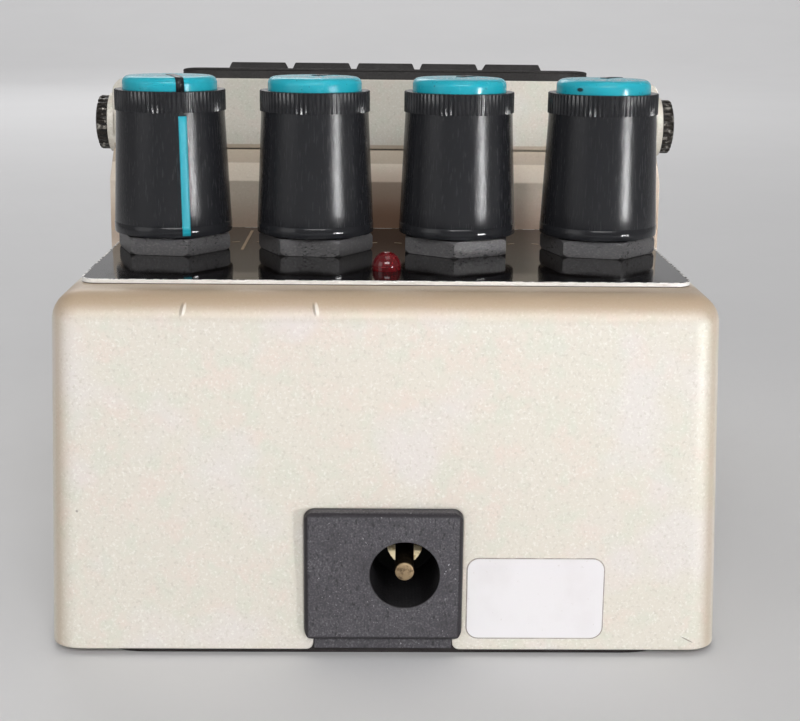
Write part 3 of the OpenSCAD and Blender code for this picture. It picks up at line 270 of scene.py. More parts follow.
class Look:
    """One Principled material whose detail comes from noise in object space."""

    def __init__(self, name, colour, roughness, sockets=None):
        self.material = bpy.data.materials.new(name)
        self.material.use_nodes = True
        tree = self.material.node_tree
        self.nodes, self.links = tree.nodes, tree.links
        self.shader = self.nodes["Principled BSDF"]
        self.place = self.nodes.new("ShaderNodeTexCoord").outputs["Object"]
        self.colour = (*colour, 1)
        self.shader.inputs["Base Color"].default_value = self.colour
        self.shader.inputs["Roughness"].default_value = roughness
        for socket, value in (sockets or {}).items():
            self.shader.inputs[socket].default_value = value

    def noise(self, size, detail=3.0, stretch=(1, 1, 1), turn=(0, 0, 0)):
        """Soft noise, 0 to 1, with spots of about that size."""
        node = self.nodes.new("ShaderNodeTexNoise")
        node.inputs["Scale"].default_value = 1.0
        node.inputs["Detail"].default_value = detail
        self.links.new(self.mapped(size, stretch, turn), node.inputs["Vector"])
        return node.outputs["Fac"]

    def mapped(self, size, stretch, turn):
        """Object space in units of a size, stretched and turned."""
        node = self.nodes.new("ShaderNodeMapping")
        node.inputs["Scale"].default_value = [1 / (size * MM * s) for s in stretch]
        node.inputs["Rotation"].default_value = [math.radians(a) for a in turn]
        self.links.new(self.place, node.inputs["Vector"])
        return node.outputs["Vector"]

    def band(self, value, low, high, to_low=0.0, to_high=1.0):
        """A value between two limits, spread over another range."""
        node = self.nodes.new("ShaderNodeMapRange")
        self.links.new(value, node.inputs["Value"])
        node.inputs["From Min"].default_value = low
        node.inputs["From Max"].default_value = high
        node.inputs["To Min"].default_value = to_low
        node.inputs["To Max"].default_value = to_high
        return node.outputs["Result"]

    def math(self, operation, first, second):
        """Two values joined by an operation."""
        node = self.nodes.new("ShaderNodeMath")
        node.operation = operation
        self.links.new(first, node.inputs[0])
        self.links.new(second, node.inputs[1])
        return node.outputs[0]

    def product(self, first, second):
        """1 where both values are 1."""
        return self.math("MULTIPLY", first, second)

    def tint(self, colour, amount):
        """Mixes another colour over what is there."""
        node = self.nodes.new("ShaderNodeMix")
        node.data_type = "RGBA"
        factor, first, second = node.inputs[0], node.inputs[6], node.inputs[7]
        self.links.new(amount, factor)
        if isinstance(self.colour, tuple):
            first.default_value = self.colour
        else:
            self.links.new(self.colour, first)
        second.default_value = (*colour, 1)
        self.colour = node.outputs[2]
        self.links.new(self.colour, self.shader.inputs["Base Color"])

    def blot(self, colour, value, low=0, high=1, most=1.0):
        """Mixes another colour in as a value rises from one limit to the next, up to a share."""
        self.tint(colour, self.band(value, low, high, 0, most))

    def rounding(self, low, high):
        """1 on rounded edges and slopes, 0 on faces square to the part's frame."""
        size = self.nodes.new("ShaderNodeVectorMath")
        size.operation = "ABSOLUTE"
        self.links.new(self.place.node.outputs["Normal"], size.inputs[0])
        split = self.nodes.new("ShaderNodeSeparateXYZ")
        self.links.new(size.outputs["Vector"], split.inputs["Vector"])
        most = self.math("MAXIMUM", split.outputs["X"], split.outputs["Y"])
        return self.band(self.math("MAXIMUM", most, split.outputs["Z"]), low, high, 1, 0)

    def crevice(self, reach):
        """1 deep in a corner, 0 in the open."""
        node = self.nodes.new("ShaderNodeAmbientOcclusion")
        node.samples = 6
        node.inputs["Distance"].default_value = reach * MM
        return self.band(node.outputs["AO"], 0.0, 1.0, 1, 0)

    def facing_rear(self):
        """1 on faces turned to the rear or sloping towards it, 0 on the sides and the top."""
        node = self.nodes.new("ShaderNodeSeparateXYZ")
        self.links.new(self.place.node.outputs["Normal"], node.inputs["Vector"])
        return self.band(node.outputs["Y"], 0.3, 0.5)

    def height(self):
        """Height above the floor at rest, in metres."""
        node = self.nodes.new("ShaderNodeSeparateXYZ")
        self.links.new(self.place, node.inputs["Vector"])
        return node.outputs["Z"]

    def rise(self, low, high, to_low=0.0, to_high=1.0):
        """A value that changes between two heights."""
        return self.band(self.height(), low * MM, high * MM, to_low, to_high)

    def layer(self, low, high, soft):
        """1 between two heights, with soft limits."""
        above = self.rise(low - soft, low)
        return self.product(above, self.rise(high, high + soft, 1, 0))

    def spot(self, place, size, turn=(0, 0, 0), core=0.6):
        """One mark at a place, with half sizes along each axis, solid up to its core."""
        move = self.nodes.new("ShaderNodeMapping")
        move.vector_type = "TEXTURE"
        move.inputs["Location"].default_value = [v * MM for v in place]
        move.inputs["Rotation"].default_value = [math.radians(a) for a in turn]
        move.inputs["Scale"].default_value = [v * MM for v in size]
        self.links.new(self.place, move.inputs["Vector"])
        reach = self.nodes.new("ShaderNodeVectorMath")
        reach.operation = "LENGTH"
        self.links.new(move.outputs["Vector"], reach.inputs[0])
        return self.band(reach.outputs["Value"], core, 1.0, 1, 0)

    def edge(self, radius):
        """Shades sharp edges as if they were rounded."""
        node = self.nodes.new("ShaderNodeBevel")
        node.samples = 4
        node.inputs["Radius"].default_value = radius * MM
        self.links.new(node.outputs["Normal"], self.shader.inputs["Normal"])

    def rough(self, value, low, high, smooth, coarse):
        """Roughness that follows a value between two limits."""
        self.links.new(self.band(value, low, high, smooth, coarse), self.shader.inputs["Roughness"])

    def polish(self, amount, roughness):
        """Pulls the roughness towards a value where the amount is high."""
        node = self.nodes.new("ShaderNodeMix")
        self.links.new(amount, node.inputs[0])
        self.links.new(self.shader.inputs["Roughness"].links[0].from_socket, node.inputs[2])
        node.inputs[3].default_value = roughness
        self.links.new(node.outputs[0], self.shader.inputs["Roughness"])

    def bump(self, value, height, strength=1.0):
        """Fine relief of a height, on top of any that is there."""
        node = self.nodes.new("ShaderNodeBump")
        node.inputs["Distance"].default_value = height * MM
        node.inputs["Strength"].default_value = strength
        self.links.new(value, node.inputs["Height"])
        if self.shader.inputs["Normal"].is_linked:
            self.links.new(self.shader.inputs["Normal"].links[0].from_socket, node.inputs["Normal"])
        self.links.new(node.outputs["Normal"], self.shader.inputs["Normal"])


def pearl_paint():
    """Cream paint with a pearl grain and a few nicks, and painted shade on its rear edges, in its corners, under
    the hinge and on the wall behind the plate, with a band of painted warm light under the hinge.
    """
    look = Look("pearl_paint", CREAM, 0.4, {"Coat Weight": 0.15, "Coat Roughness": 0.25, "Metallic": 0.05})
    look.blot(CREAM_ROSE, look.noise(3.2, 2), 0.5, 0.68, 0.7)
    look.blot(CREAM_GREEN, look.noise(2.6, 2, turn=(40, 15, 70)), 0.5, 0.68, 0.7)
    look.blot(CREAM_LILAC, look.noise(9.0, 2, turn=(10, 65, 30)), 0.52, 0.68, 0.7)
    grain = look.noise(0.28, 3)
    look.blot(CREAM_LIGHT, grain, 0.54, 0.74, 0.75)
    look.blot(CREAM_DARK, look.noise(0.34, 3, turn=(20, 40, 10)), 0.55, 0.75, 0.55)
    shade_rear_edges(look)
    for place, size, lean, colour in PAINT_NICKS:
        look.blot(colour, look.spot(place, size, (0, lean, 0)), most=0.65)
    paint_corner_shade_and_light(look)
    look.rough(grain, 0.35, 0.7, 0.36, 0.52)
    look.edge(0.3)
    look.bump(grain, 0.012, 0.4)
    return look.material


def shade_rear_edges(look):
    """Painted shade: browns the casting's rear edges, most of all the upper one."""
    rear = look.spot((0, REAR_Y, 0), (80, 40, 60), core=0.8)
    look.blot(CREAM_EDGE_SHADE, look.product(look.rounding(0.75, 0.985), rear), most=0.5)
    upper = look.spot((0, REAR_Y, DECK_Z), (80, 12, 20), core=0.8)
    look.blot(CREAM_EDGE_SHADE, look.product(upper, look.rise(*ROUNDING_Z)), most=0.8)


def paint_corner_shade_and_light(look):
    """Paints shade into the casting's corners, shade and warm light onto the slope under the hinge, and shade onto
    the wall behind the plate.
    """
    # Painted shade in the corners, in patches of varying strength
    corners = look.band(look.crevice(6), 0.72, 0.97)
    look.blot(GRIME_AND_SHADE, look.product(corners, look.band(look.noise(5, 4), 0.3, 0.7, 0.45, 1)), most=0.75)
    behind_plate = (0, PLATE_LOW.y, DECK_Z)
    under_hinge = look.product(look.spot(behind_plate, (WHOLE, 4.2, WHOLE), core=0.97), look.facing_rear())
    # Painted shade on the upper slope under the treadle's edge, and painted warm light below it
    for heights, most, colour in ((HINGE_SHADE_Z, 0.6, CREAM_EDGE_SHADE), (HINGE_LIGHT_Z, 0.5, CREAM_WARM_LIGHT)):
        look.blot(colour, look.product(under_hinge, look.layer(*heights, 0.1)), most=most)
    # Painted shade on the wall behind the plate
    for along, upwards, most, colour in WALL_SHADE:
        look.blot(colour, look.spot(behind_plate, (along, 3.0, upwards), core=0.2), most=most)


def gloss_black():
    """Gloss black print on the plate, with fine scratches."""
    look = Look("gloss_black", PLATE_BLACK, 0.05, {"Specular IOR Level": 0.35})
    fine = look.noise(0.4, 2, stretch=(60, 1, 1), turn=(0, 0, 24))
    cross = look.noise(0.5, 2, stretch=(1, 70, 1), turn=(0, 0, 17))
    look.tint(SCRATCH, look.product(look.band(fine, 0.62, 0.72), look.band(look.noise(9), 0.45, 0.6)))
    look.blot(CROSS_SCRATCH, cross, 0.68, 0.76, 0.7)
    look.rough(look.noise(7, 4), 0.35, 0.7, 0.03, 0.12)
    return look.material


def black_nut():
    """Blackened nuts with a worn grain and pits in patches."""
    look = Look("black_nut", NUT, 0.5, {"Metallic": 0.2})
    grain = look.noise(0.3, 5, stretch=(1, 1, 0.6))
    look.blot(NUT_WORN, grain, 0.5, 0.7, 0.4)
    pits = look.band(look.noise(0.24, 3, stretch=(2.2, 2.2, 1)), 0.55, 0.66)
    look.tint(NUT_PIT, look.product(pits, look.band(look.noise(3.5, 2), 0.45, 0.6)))
    look.rough(grain, 0.3, 0.7, 0.38, 0.6)
    look.bump(grain, 0.03, 0.5)
    return look.material


def knob_black():
    """Satin black moulding with fine upright streaks, polished at the foot band."""
    look = Look("knob_black", KNOB, 0.3, {"Specular IOR Level": 0.32})
    streaks = look.noise(0.16, 4, stretch=(1, 1, 14))
    look.blot(KNOB_STREAK, streaks, 0.5, 0.75, 0.3)
    look.rough(streaks, 0.3, 0.7, 0.18, 0.3)
    look.bump(streaks, 0.005, 0.5)
    look.bump(look.noise(0.22, 2, stretch=(1, 1, 2)), 0.03, 0.7)
    foot = span("mode_knob")[0].z + KNOB_BAND_H
    look.polish(look.rise(foot, foot + 0.03, 1, 0), 0.06)
    return look.material


def cap_teal():
    """Glossy teal caps with dark specks and one chip."""
    look = Look("cap_teal", TEAL, 0.2, {"Specular IOR Level": 0.3})
    look.blot(TEAL_LIGHT, look.noise(2.5, 3), 0.45, 0.7, 0.5)
    look.blot(TEAL_SPECK, look.noise(0.35, 2), 0.69, 0.73, 0.7)
    chip = (*CAP_CHIP_XY, span("level_cap")[0].z + CAP_CHIP_RISE)
    look.tint(TEAL_CHIP, look.spot(chip, CAP_CHIP_SIZE))
    look.rough(look.noise(1.2, 4), 0.35, 0.7, 0.14, 0.3)
    return look.material


def pointer_teal():
    """Teal paint of the lines down the knobs' sides."""
    look = Look("pointer_teal", TEAL, 0.35)
    look.blot(TEAL_LIGHT, look.noise(0.6, 3), 0.45, 0.7, 0.6)
    look.rough(look.noise(0.5, 3), 0.3, 0.7, 0.28, 0.45)
    return look.material


def black_screw():
    """Black oxide steel with worn spots."""
    look = Look("black_screw", SCREW, 0.32, {"Metallic": 0.6})
    worn = look.noise(0.7, 4)
    look.blot(SCREW_WORN, worn, 0.58, 0.72, 0.8)
    look.rough(worn, 0.3, 0.7, 0.22, 0.45)
    look.bump(worn, 0.02, 0.4)
    return look.material


def worn_screw():
    """Black finish rubbed through to bright metal in places."""
    look = Look("worn_screw", RIM, 0.3, {"Metallic": 0.7})
    worn = look.noise(0.9, 4)
    look.blot(RIM_WORN, worn, 0.55, 0.66, 0.9)
    look.rough(worn, 0.3, 0.7, 0.2, 0.4)
    return look.material


def rubber(name, colour, pale):
    """Matt rubber with paler patches."""
    look = Look(name, colour, 0.62)
    grain = look.noise(0.25, 4)
    look.blot(pale, look.noise(4, 4), 0.5, 0.72, 0.7)
    look.rough(grain, 0.3, 0.7, 0.52, 0.75)
    look.bump(grain, 0.03, 0.6)
    return look.material


def metal(name, colour, dark, roughness, stretch):
    """Metal with fine lines along one direction."""
    look = Look(name, colour, roughness, {"Metallic": 1.0})
    lines = look.noise(0.25, 3, stretch=stretch)
    look.blot(dark, lines, 0.5, 0.75, 0.5)
    look.rough(lines, 0.3, 0.7, roughness * 0.7, roughness * 1.4)
    look.bump(lines, 0.006, 0.4)
    return look.material


def old_brass(name, colour, dirt, unshaded=None):
    """Brass dulled by use, with dirt in patches, and, if a place is given, painted shade nearly black all over
    outside it.
    """
    look = Look(name, colour, 0.45, {"Metallic": 0.7})
    patches = look.noise(0.7, 4)
    look.blot(dirt, patches, 0.5, 0.66, 0.9)
    if unshaded:
        # Painted shade: nearly black everywhere outside the unshaded place
        look.tint(DEEP_SHADE, look.band(look.spot(*unshaded), 0, 1, 0.95, 0))
    look.rough(patches, 0.3, 0.7, 0.32, 0.6)
    look.bump(look.noise(0.3, 3), 0.02, 0.5)
    return look.material


def plastic(name, colour, pale, roughness):
    """Moulded plastic with paler patches and a fine grain."""
    look = Look(name, colour, roughness)
    grain = look.noise(0.25, 4)
    look.blot(pale, look.noise(3, 4), 0.5, 0.72, 0.6)
    look.rough(grain, 0.3, 0.7, roughness * 0.85, min(1.0, roughness * 1.2))
    look.bump(grain, 0.015, 0.5)
    return look.material


def inlet_black():
    """Matt, grainy moulding with dust and lint, with painted shade on its rounded edges and painted shade blacking
    out its bore.
    """
    look = Look("inlet_black", INLET, 0.55, {"Specular IOR Level": 0.25})
    grain = look.noise(0.22, 5)
    look.blot(INLET_GRAIN, grain, 0.48, 0.68, 0.8)
    look.blot(INLET_FLECK, look.noise(0.3, 4, stretch=(1, 1, 2), turn=(25, 5, 50)), 0.55, 0.7, 0.8)
    look.blot(INLET_PATCH, look.noise(5, 3), 0.5, 0.7, 0.5)
    dust = look.band(look.noise(0.32, 3, turn=(30, 10, 55)), 0.66, 0.72)
    look.blot(DUST, look.product(dust, look.band(look.noise(2.2, 3), 0.45, 0.6)), most=0.85)
    lint = look.band(look.noise(0.3, 2, stretch=(14, 1, 1), turn=(0, 52, 0)), 0.68, 0.74)
    lint_patches = look.band(look.noise(3.0, 2, turn=(0, 0, 40)), 0.52, 0.6)
    look.blot(LINT, look.product(lint, lint_patches), most=0.6)
    # Painted shade on the rounded edges
    look.blot(INLET_EDGE_SHADE, look.rounding(0.82, 0.99), most=0.85)
    # Painted shade blacks out the bore
    shade_size = (INLET_SHADE_R, WHOLE, INLET_SHADE_R)
    look.tint(INLET_BORE_SHADE, look.spot((PIN_X, REAR_FOOT_Y, PIN_Z), shade_size, core=0.985))
    look.rough(grain, 0.3, 0.7, 0.45, 0.65)
    look.bump(grain, 0.03, 0.6)
    return look.material


def red_lens():
    """Clear red plastic, with the lamp off."""
    look = Look("red_lens", LENS, 0.06, {"Transmission Weight": 0.35, "IOR": 1.5, "Coat Weight": 0.2})
    look.blot(LENS_DEEP, look.noise(1.2, 2), 0.45, 0.7, 0.6)
    look.rough(look.noise(0.6, 3), 0.3, 0.7, 0.03, 0.12)
    return look.material


def board_green():
    """Green circuit board with paler tracks."""
    look = Look("board", BOARD, 0.4)
    look.blot(BOARD_TRACK, look.noise(1.6, 0, stretch=(1, 6, 1)), 0.52, 0.54, 0.7)
    look.rough(look.noise(2), 0.3, 0.7, 0.3, 0.5)
    return look.material


def label_white():
    """White label paper with faint shades and specks."""
    look = Look("label_white", LABEL, 0.4)
    look.blot(LABEL_SHADE, look.noise(6, 4), 0.5, 0.75, 0.5)
    look.blot(LABEL_SPECK, look.noise(0.5, 3), 0.68, 0.74, 0.5)
    look.rough(look.noise(0.8, 3), 0.3, 0.7, 0.32, 0.5)
    look.bump(look.noise(0.3, 3), 0.006, 0.4)
    return look.material


def label_film():
    """Soiled film around the label."""
    look = Look("label_film", FILM, 0.45)
    look.blot(FILM_PALE, look.noise(1.5, 4), 0.45, 0.7)
    look.rough(look.noise(0.6, 3), 0.3, 0.7, 0.35, 0.55)
    return look.material


def print_pale():
    """Worn pale print on the plate."""
    look = Look("print_pale", PRINT, 0.45)
    look.blot(PRINT_WORN, look.noise(0.3, 4), 0.5, 0.72, 0.8)
    look.rough(look.noise(0.4, 3), 0.3, 0.7, 0.35, 0.55)
    return look.material


def bare_edge():
    """The plate's worn edge, bright, with a painted shadow line where it meets the deck."""
    look = Look("plate_edge", BARE_METAL, 0.4, {"Metallic": 0.3})
    wear = look.noise(0.35, 3, stretch=(2.5, 1, 1))
    look.blot(BARE_METAL_DULL, wear, 0.52, 0.75, 0.5)
    look.tint(EDGE_SHADOW, look.rise(DECK_Z + 0.05, DECK_Z + 0.12, 0.95, 0))
    rim = look.rise(PLATE_TOP - 0.02, PLATE_TOP)
    look.tint(BLACK, look.product(rim, look.band(wear, 0.46, 0.52, 1, 0)))
    look.rough(wear, 0.3, 0.7, 0.3, 0.5)
    return look.material


def floor_pale():
    """Plain pale floor."""
    look = Look("floor_pale", FLOOR, 0.75)
    look.blot(FLOOR_SHADE, look.noise(60, 3), 0.4, 0.65, 0.3)
    look.rough(look.noise(5, 3), 0.3, 0.7, 0.7, 0.8)
    return look.material


# One material for each slot of the record
LOOKS = {
    "pearl_paint": pearl_paint(),
    "gloss_black": gloss_black(),
    "black_nut": black_nut(),
    "knob_black": knob_black(),
    "cap_teal": cap_teal(),
    "black_screw": black_screw(),
    "tread_rubber": rubber("tread_rubber", TREAD, TREAD_PALE),
    "base_rubber": rubber("base_rubber", SHEET, SHEET_PALE),
    "steel": metal("steel", STEEL, STEEL_DARK, 0.38, (30, 1, 1)),
    "nickel": metal("nickel", NICKEL, NICKEL_DARK, 0.2, (1, 12, 12)),
    "jack_plastic": plastic("jack_plastic", JACK, JACK_PALE, 0.45),
    "pot_case": plastic("pot_case", CASE, CASE_PALE, 0.5),
    "inlet_black": inlet_black(),
    "brass": metal("brass", BRASS, BRASS_DARK, 0.3, (1, 20, 1)),
    "red_lens": red_lens(),
    "nylon": plastic("nylon", NYLON, NYLON_OLD, 0.42),
    "board": board_green(),
    "chip": plastic("chip", CHIP, CHIP_PALE, 0.55),
}


# Mesh helpers


def add_piece(name, verts, faces, body, slot, material=None, replaces=(), place=Matrix(),
              sharp=SHARP_ANGLE):
    """A mesh piece that rides on a body, from points in millimetres."""
    mesh = bpy.data.meshes.new(name)
    mesh.from_pydata([(place @ Vector(v)) * MM for v in verts], [], faces)
    bm = bmesh.new()
    bm.from_mesh(mesh)
    bmesh.ops.recalc_face_normals(bm, faces=bm.faces)
    bm.to_mesh(mesh)
    bm.free()
    return finish_piece(name, mesh, body, slot, material, replaces, sharp)


def finish_piece(name, mesh, body, slot, material=None, replaces=(), sharp=SHARP_ANGLE):
    """A mesh as a piece of the model, with its material, picked by its slot unless one is given, and its body."""
    mesh.materials.clear()
    mesh.materials.append(material or LOOKS[slot])
    mesh.shade_smooth()
    mesh.set_sharp_from_angle(angle=math.radians(sharp))
    obj = bpy.data.objects.new(name, mesh)
    bpy.context.scene.collection.objects.link(obj)
    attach(obj, body)
    if replaces:
        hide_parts(*replaces)
    return obj


def soften(obj, width):
    """Rounds the sharp edges of a piece."""
    bevel = obj.modifiers.new("edges", "BEVEL")
    bevel.width = width * MM
    bevel.segments = EDGE_STEPS
    bevel.limit_method = "ANGLE"
    bevel.angle_limit = math.radians(SHARP_ANGLE)
    bevel.use_clamp_overlap = False
    bevel.harden_normals = True


def thicken(obj, depth):
    """Gives a sheet of faces a thickness."""
    solid = obj.modifiers.new("depth", "SOLIDIFY")
    solid.thickness = depth * MM
    solid.offset = 0.0


def dress(node, width=0.0):
    """A copy of a CAD node's surface in its place, with joined faces and, if asked, rounded edges."""
    bm = bmesh.new()
    bm.from_mesh(frame["nodes"][node].data)
    bmesh.ops.remove_doubles(bm, verts=bm.verts, dist=WELD * MM)
    bmesh.ops.dissolve_limit(bm, angle_limit=math.radians(FLAT_ANGLE), verts=bm.verts, edges=bm.edges)
    bmesh.ops.recalc_face_normals(bm, faces=bm.faces)
    mesh = bpy.data.meshes.new(node + "_finish")
    bm.to_mesh(mesh)
    bm.free()
    if "custom_normal" in mesh.attributes:
        mesh.attributes.remove(mesh.attributes["custom_normal"])
    obj = finish_piece(node + "_finish", mesh, BODY_OF[node], SLOT_OF[node], replaces=(node,))
    if width:
        soften(obj, width)
    shading = obj.modifiers.new("flat_faces", "WEIGHTED_NORMAL")
    shading.weight = 100
    shading.keep_sharp = True


def lathe(profile, segments, closed=False, ripple=None):
    """Points and faces of a turned shape about Z, from its (radius, height) profile."""
    verts, rings, faces = [], [], []
    for row, (radius, height) in enumerate(profile):
        start = len(verts)
        if radius < 1e-6:
            verts.append((0, 0, height))
            rings.append([start])
            continue
        for i in range(segments):
            turn = 2 * math.pi * i / segments
            reach = radius - (ripple(row, i) if ripple else 0)
            verts.append((reach * math.cos(turn), reach * math.sin(turn), height))
        rings.append(list(range(start, start + segments)))
    pairs = list(zip(rings, rings[1:])) + ([(rings[-1], rings[0])] if closed else [])
    for low, high in pairs:
        for i in range(segments):
            k = (i + 1) % segments
            if len(low) == 1:
                faces.append((low[0], high[k], high[i]))
            elif len(high) == 1:
                faces.append((low[i], low[k], high[0]))
            else:
                faces.append((low[i], low[k], high[k], high[i]))
    return verts, faces


def ribbed(rows, shape, cut):
    """A ripple for a lathe: grooves of a repeated shape and depth on some rows of its profile."""
    return lambda row, i: cut * shape[i % len(shape)] if row in rows else 0


def grid_faces(rows, columns):
    """Faces of a sheet of points in rows."""
    step = columns + 1
    return [
        (i * step + k, i * step + k + 1, (i + 1) * step + k + 1, (i + 1) * step + k)
        for i in range(rows) for k in range(columns)
    ]


def tube_faces(rings, sides):
    """Faces around a row of rings of points."""
    faces = []
    for i in range(rings - 1):
        for k in range(sides):
            n = (k + 1) % sides
            faces.append((i * sides + k, i * sides + n, (i + 1) * sides + n, (i + 1) * sides + k))
    return faces


def arc(centre, radius, start, end, steps):
    """Points on an arc in the plane, angles in degrees."""
    return [
        (centre[0] + radius * math.cos(math.radians(a)), centre[1] + radius * math.sin(math.radians(a)))
        for a in (start + (end - start) * i / steps for i in range(steps + 1))
    ]


def rounded_rect(width, height, radius, steps=8):
    """Outline of a rectangle with round corners about the origin, anticlockwise."""
    x, y = width / 2 - radius, height / 2 - radius
    points = []
    for centre, start in (((x, y), 0), ((-x, y), 90), ((-x, -y), 180), ((x, -y), 270)):
        points += arc(centre, radius, start, start + 90, steps)
    return points


def slab(outline, low, high):
    """Points and faces of a flat outline stretched between two heights."""
    n = len(outline)
    verts = [(x, y, low) for x, y in outline] + [(x, y, high) for x, y in outline]
    faces = [tuple(reversed(range(n))), tuple(range(n, 2 * n))]
    faces += [(i, (i + 1) % n, n + (i + 1) % n, n + i) for i in range(n)]
    return verts, faces


def frame_ring(outer, inner, low, high):
    """Points and faces of a band between two matching outlines."""
    n = len(outer)
    verts = [(x, y, z) for z in (low, high) for line in (outer, inner) for x, y in line]
    faces = []
    for i in range(n):
        k = (i + 1) % n
        faces.append((i, k, 2 * n + k, 2 * n + i))
        faces.append((n + k, n + i, 3 * n + i, 3 * n + k))
        faces.append((2 * n + i, 2 * n + k, 3 * n + k, 3 * n + i))
        faces.append((k, i, n + i, n + k))
    return verts, faces


def joined(*shapes):
    """Several shapes as one list of points and faces."""
    verts, faces = [], []
    for more_verts, more_faces in shapes:
        start = len(verts)
        verts += list(more_verts)
        faces += [tuple(start + i for i in face) for face in more_faces]
    return verts, faces


def moved(shape, place):
    """A shape set in another place."""
    verts, faces = shape
    return [tuple(place @ Vector(v)) for v in verts], faces


def turned(angle, axis):
    """A turn about an axis, in degrees."""
    return Matrix.Rotation(math.radians(angle), 4, axis)


# Pieces


def dial_axis(name):
    """Where the axis of a control crosses the plate."""
    low, high = span(name + "_knob")
    return (low.x + high.x) / 2, (low.y + high.y) / 2


def knob_profile(low, high):
    """Outline of a knob from its hollow foot to the middle of its top, and the rows with ribs."""
    foot_round, seam, lip, step_in, edge, taper_steps = 0.16, 0.07, 0.05, 0.06, 0.1, 8
    band = low + KNOB_BAND_H
    knurl = high - KNURL_H
    side_r = KNOB_FOOT_R - step_in
    profile = [(0, low + KNOB_HOLLOW_H), (KNOB_HOLLOW_R, low + KNOB_HOLLOW_H), (KNOB_HOLLOW_R, low)]
    profile += [(KNOB_FOOT_R - foot_round, low), (KNOB_FOOT_R - foot_round / 4, low + lip)]
    profile += [(KNOB_FOOT_R, low + foot_round), (KNOB_FOOT_R, band - edge)]
    profile += [(KNOB_FOOT_R - seam, band), (side_r, band + lip)]
    for i in range(1, taper_steps + 1):
        share = i / taper_steps
        radius = side_r * (1 - share) + KNOB_TOP_R * share
        profile.append((radius, band + lip + (knurl - 0.005 - lip - band) * share))
    first_rib = len(profile)
    profile += [(KNURL_R, knurl), (KNURL_R, knurl + edge)]
    profile += [(KNURL_R, high - edge), (KNURL_R - step_in, high - 0.02)]
    ribs = range(first_rib, len(profile))
    profile += [(KNURL_R - 3 * edge, high), (CAP_R + edge, high)]
    profile += [(CAP_R - 2 * edge, high - CAP_SEAT), (0, high - CAP_SEAT)]
    return profile, ribs


def side_radius(profile, height):
    """Radius of the outer side of a profile at a height."""
    outside = [p for p in profile if p[0] > KNOB_HOLLOW_R + 0.5]
    for (r0, z0), (r1, z1) in zip(outside, outside[1:]):
        if z0 <= height <= z1 and z1 > z0:
            return r0 + (r1 - r0) * (height - z0) / (z1 - z0)
    return outside[-1][0]


def cap_profile(low, high):
    """Outline of a cap from its foot to the middle of its shallow dome."""
    shoulder = high - CAP_DOME - CAP_ROUND
    profile = [(0, low), (CAP_R, low)]
    profile += arc((CAP_R - CAP_ROUND, shoulder), CAP_ROUND, 0, 82, 8)
    profile += [(CAP_R * 0.6, high - CAP_DOME * 0.3), (CAP_R * 0.3, high - CAP_DOME * 0.08), (0, high)]
    return profile


def side_line(profile, bottom, top):
    """Points and faces of a line that follows a knob's side."""
    rows, columns = 14, 4
    verts = []
    for i in range(rows + 1):
        height = bottom + (top - bottom) * i / rows
        radius = side_radius(profile, height) + PROUD
        for k in range(columns + 1):
            turn = (k / columns - 0.5) * POINTER_W / radius
            verts.append((radius * math.sin(turn), radius * math.cos(turn), height))
    return verts, grid_faces(rows, columns)


def cap_rib(crest):
    """Points and faces of a rib that follows a cap's outline from its side to its middle."""
    verts = []
    for r, z in crest:
        for side in (-1, 1):
            verts.append((side * POINTER_W / 2, r + PROUD if r else 0, z + (PROUD if r < CAP_R else 0)))
    return verts, grid_faces(len(crest) - 1, 1)


def make_dial(name, line_paint):
    """A control's knob with ribs, its cap, the rib in the cap and the line down its side."""
    body = name + "_dial"
    foot_z = span(name + "_knob")[0].z
    cap_low, cap_high = span(name + "_cap")
    place = Matrix.Translation((*dial_axis(name), 0)) @ turned(POINTER_TURN[name], "Z")

    profile, ribs = knob_profile(foot_z, cap_low.z)
    knob = lathe(profile, KNURL_RIBS * len(RIB_SHAPE), ripple=ribbed(ribs, RIB_SHAPE, KNURL_CUT))
    add_piece(name + "_knob_body", *knob, body, "knob_black", replaces=(name + "_knob",), place=place)

    outline = cap_profile(cap_low.z - CAP_SEAT, cap_high.z)
    cap = lathe(outline, CAP_SIDES)
    add_piece(name + "_cap_dome", *cap, body, "cap_teal", replaces=(name + "_cap",), place=place)
    rib = add_piece(name + "_cap_rib", *cap_rib(outline[1:]), body, "knob_black", place=place)
    thicken(rib, 2 * PROUD)

    line = side_line(profile, foot_z + LINE_GAP_BELOW, cap_low.z - KNURL_H - LINE_GAP_ABOVE)
    piece = add_piece(name + "_side_line", *line, body, "cap_teal", line_paint, place=place)
    thicken(piece, LINE_T)


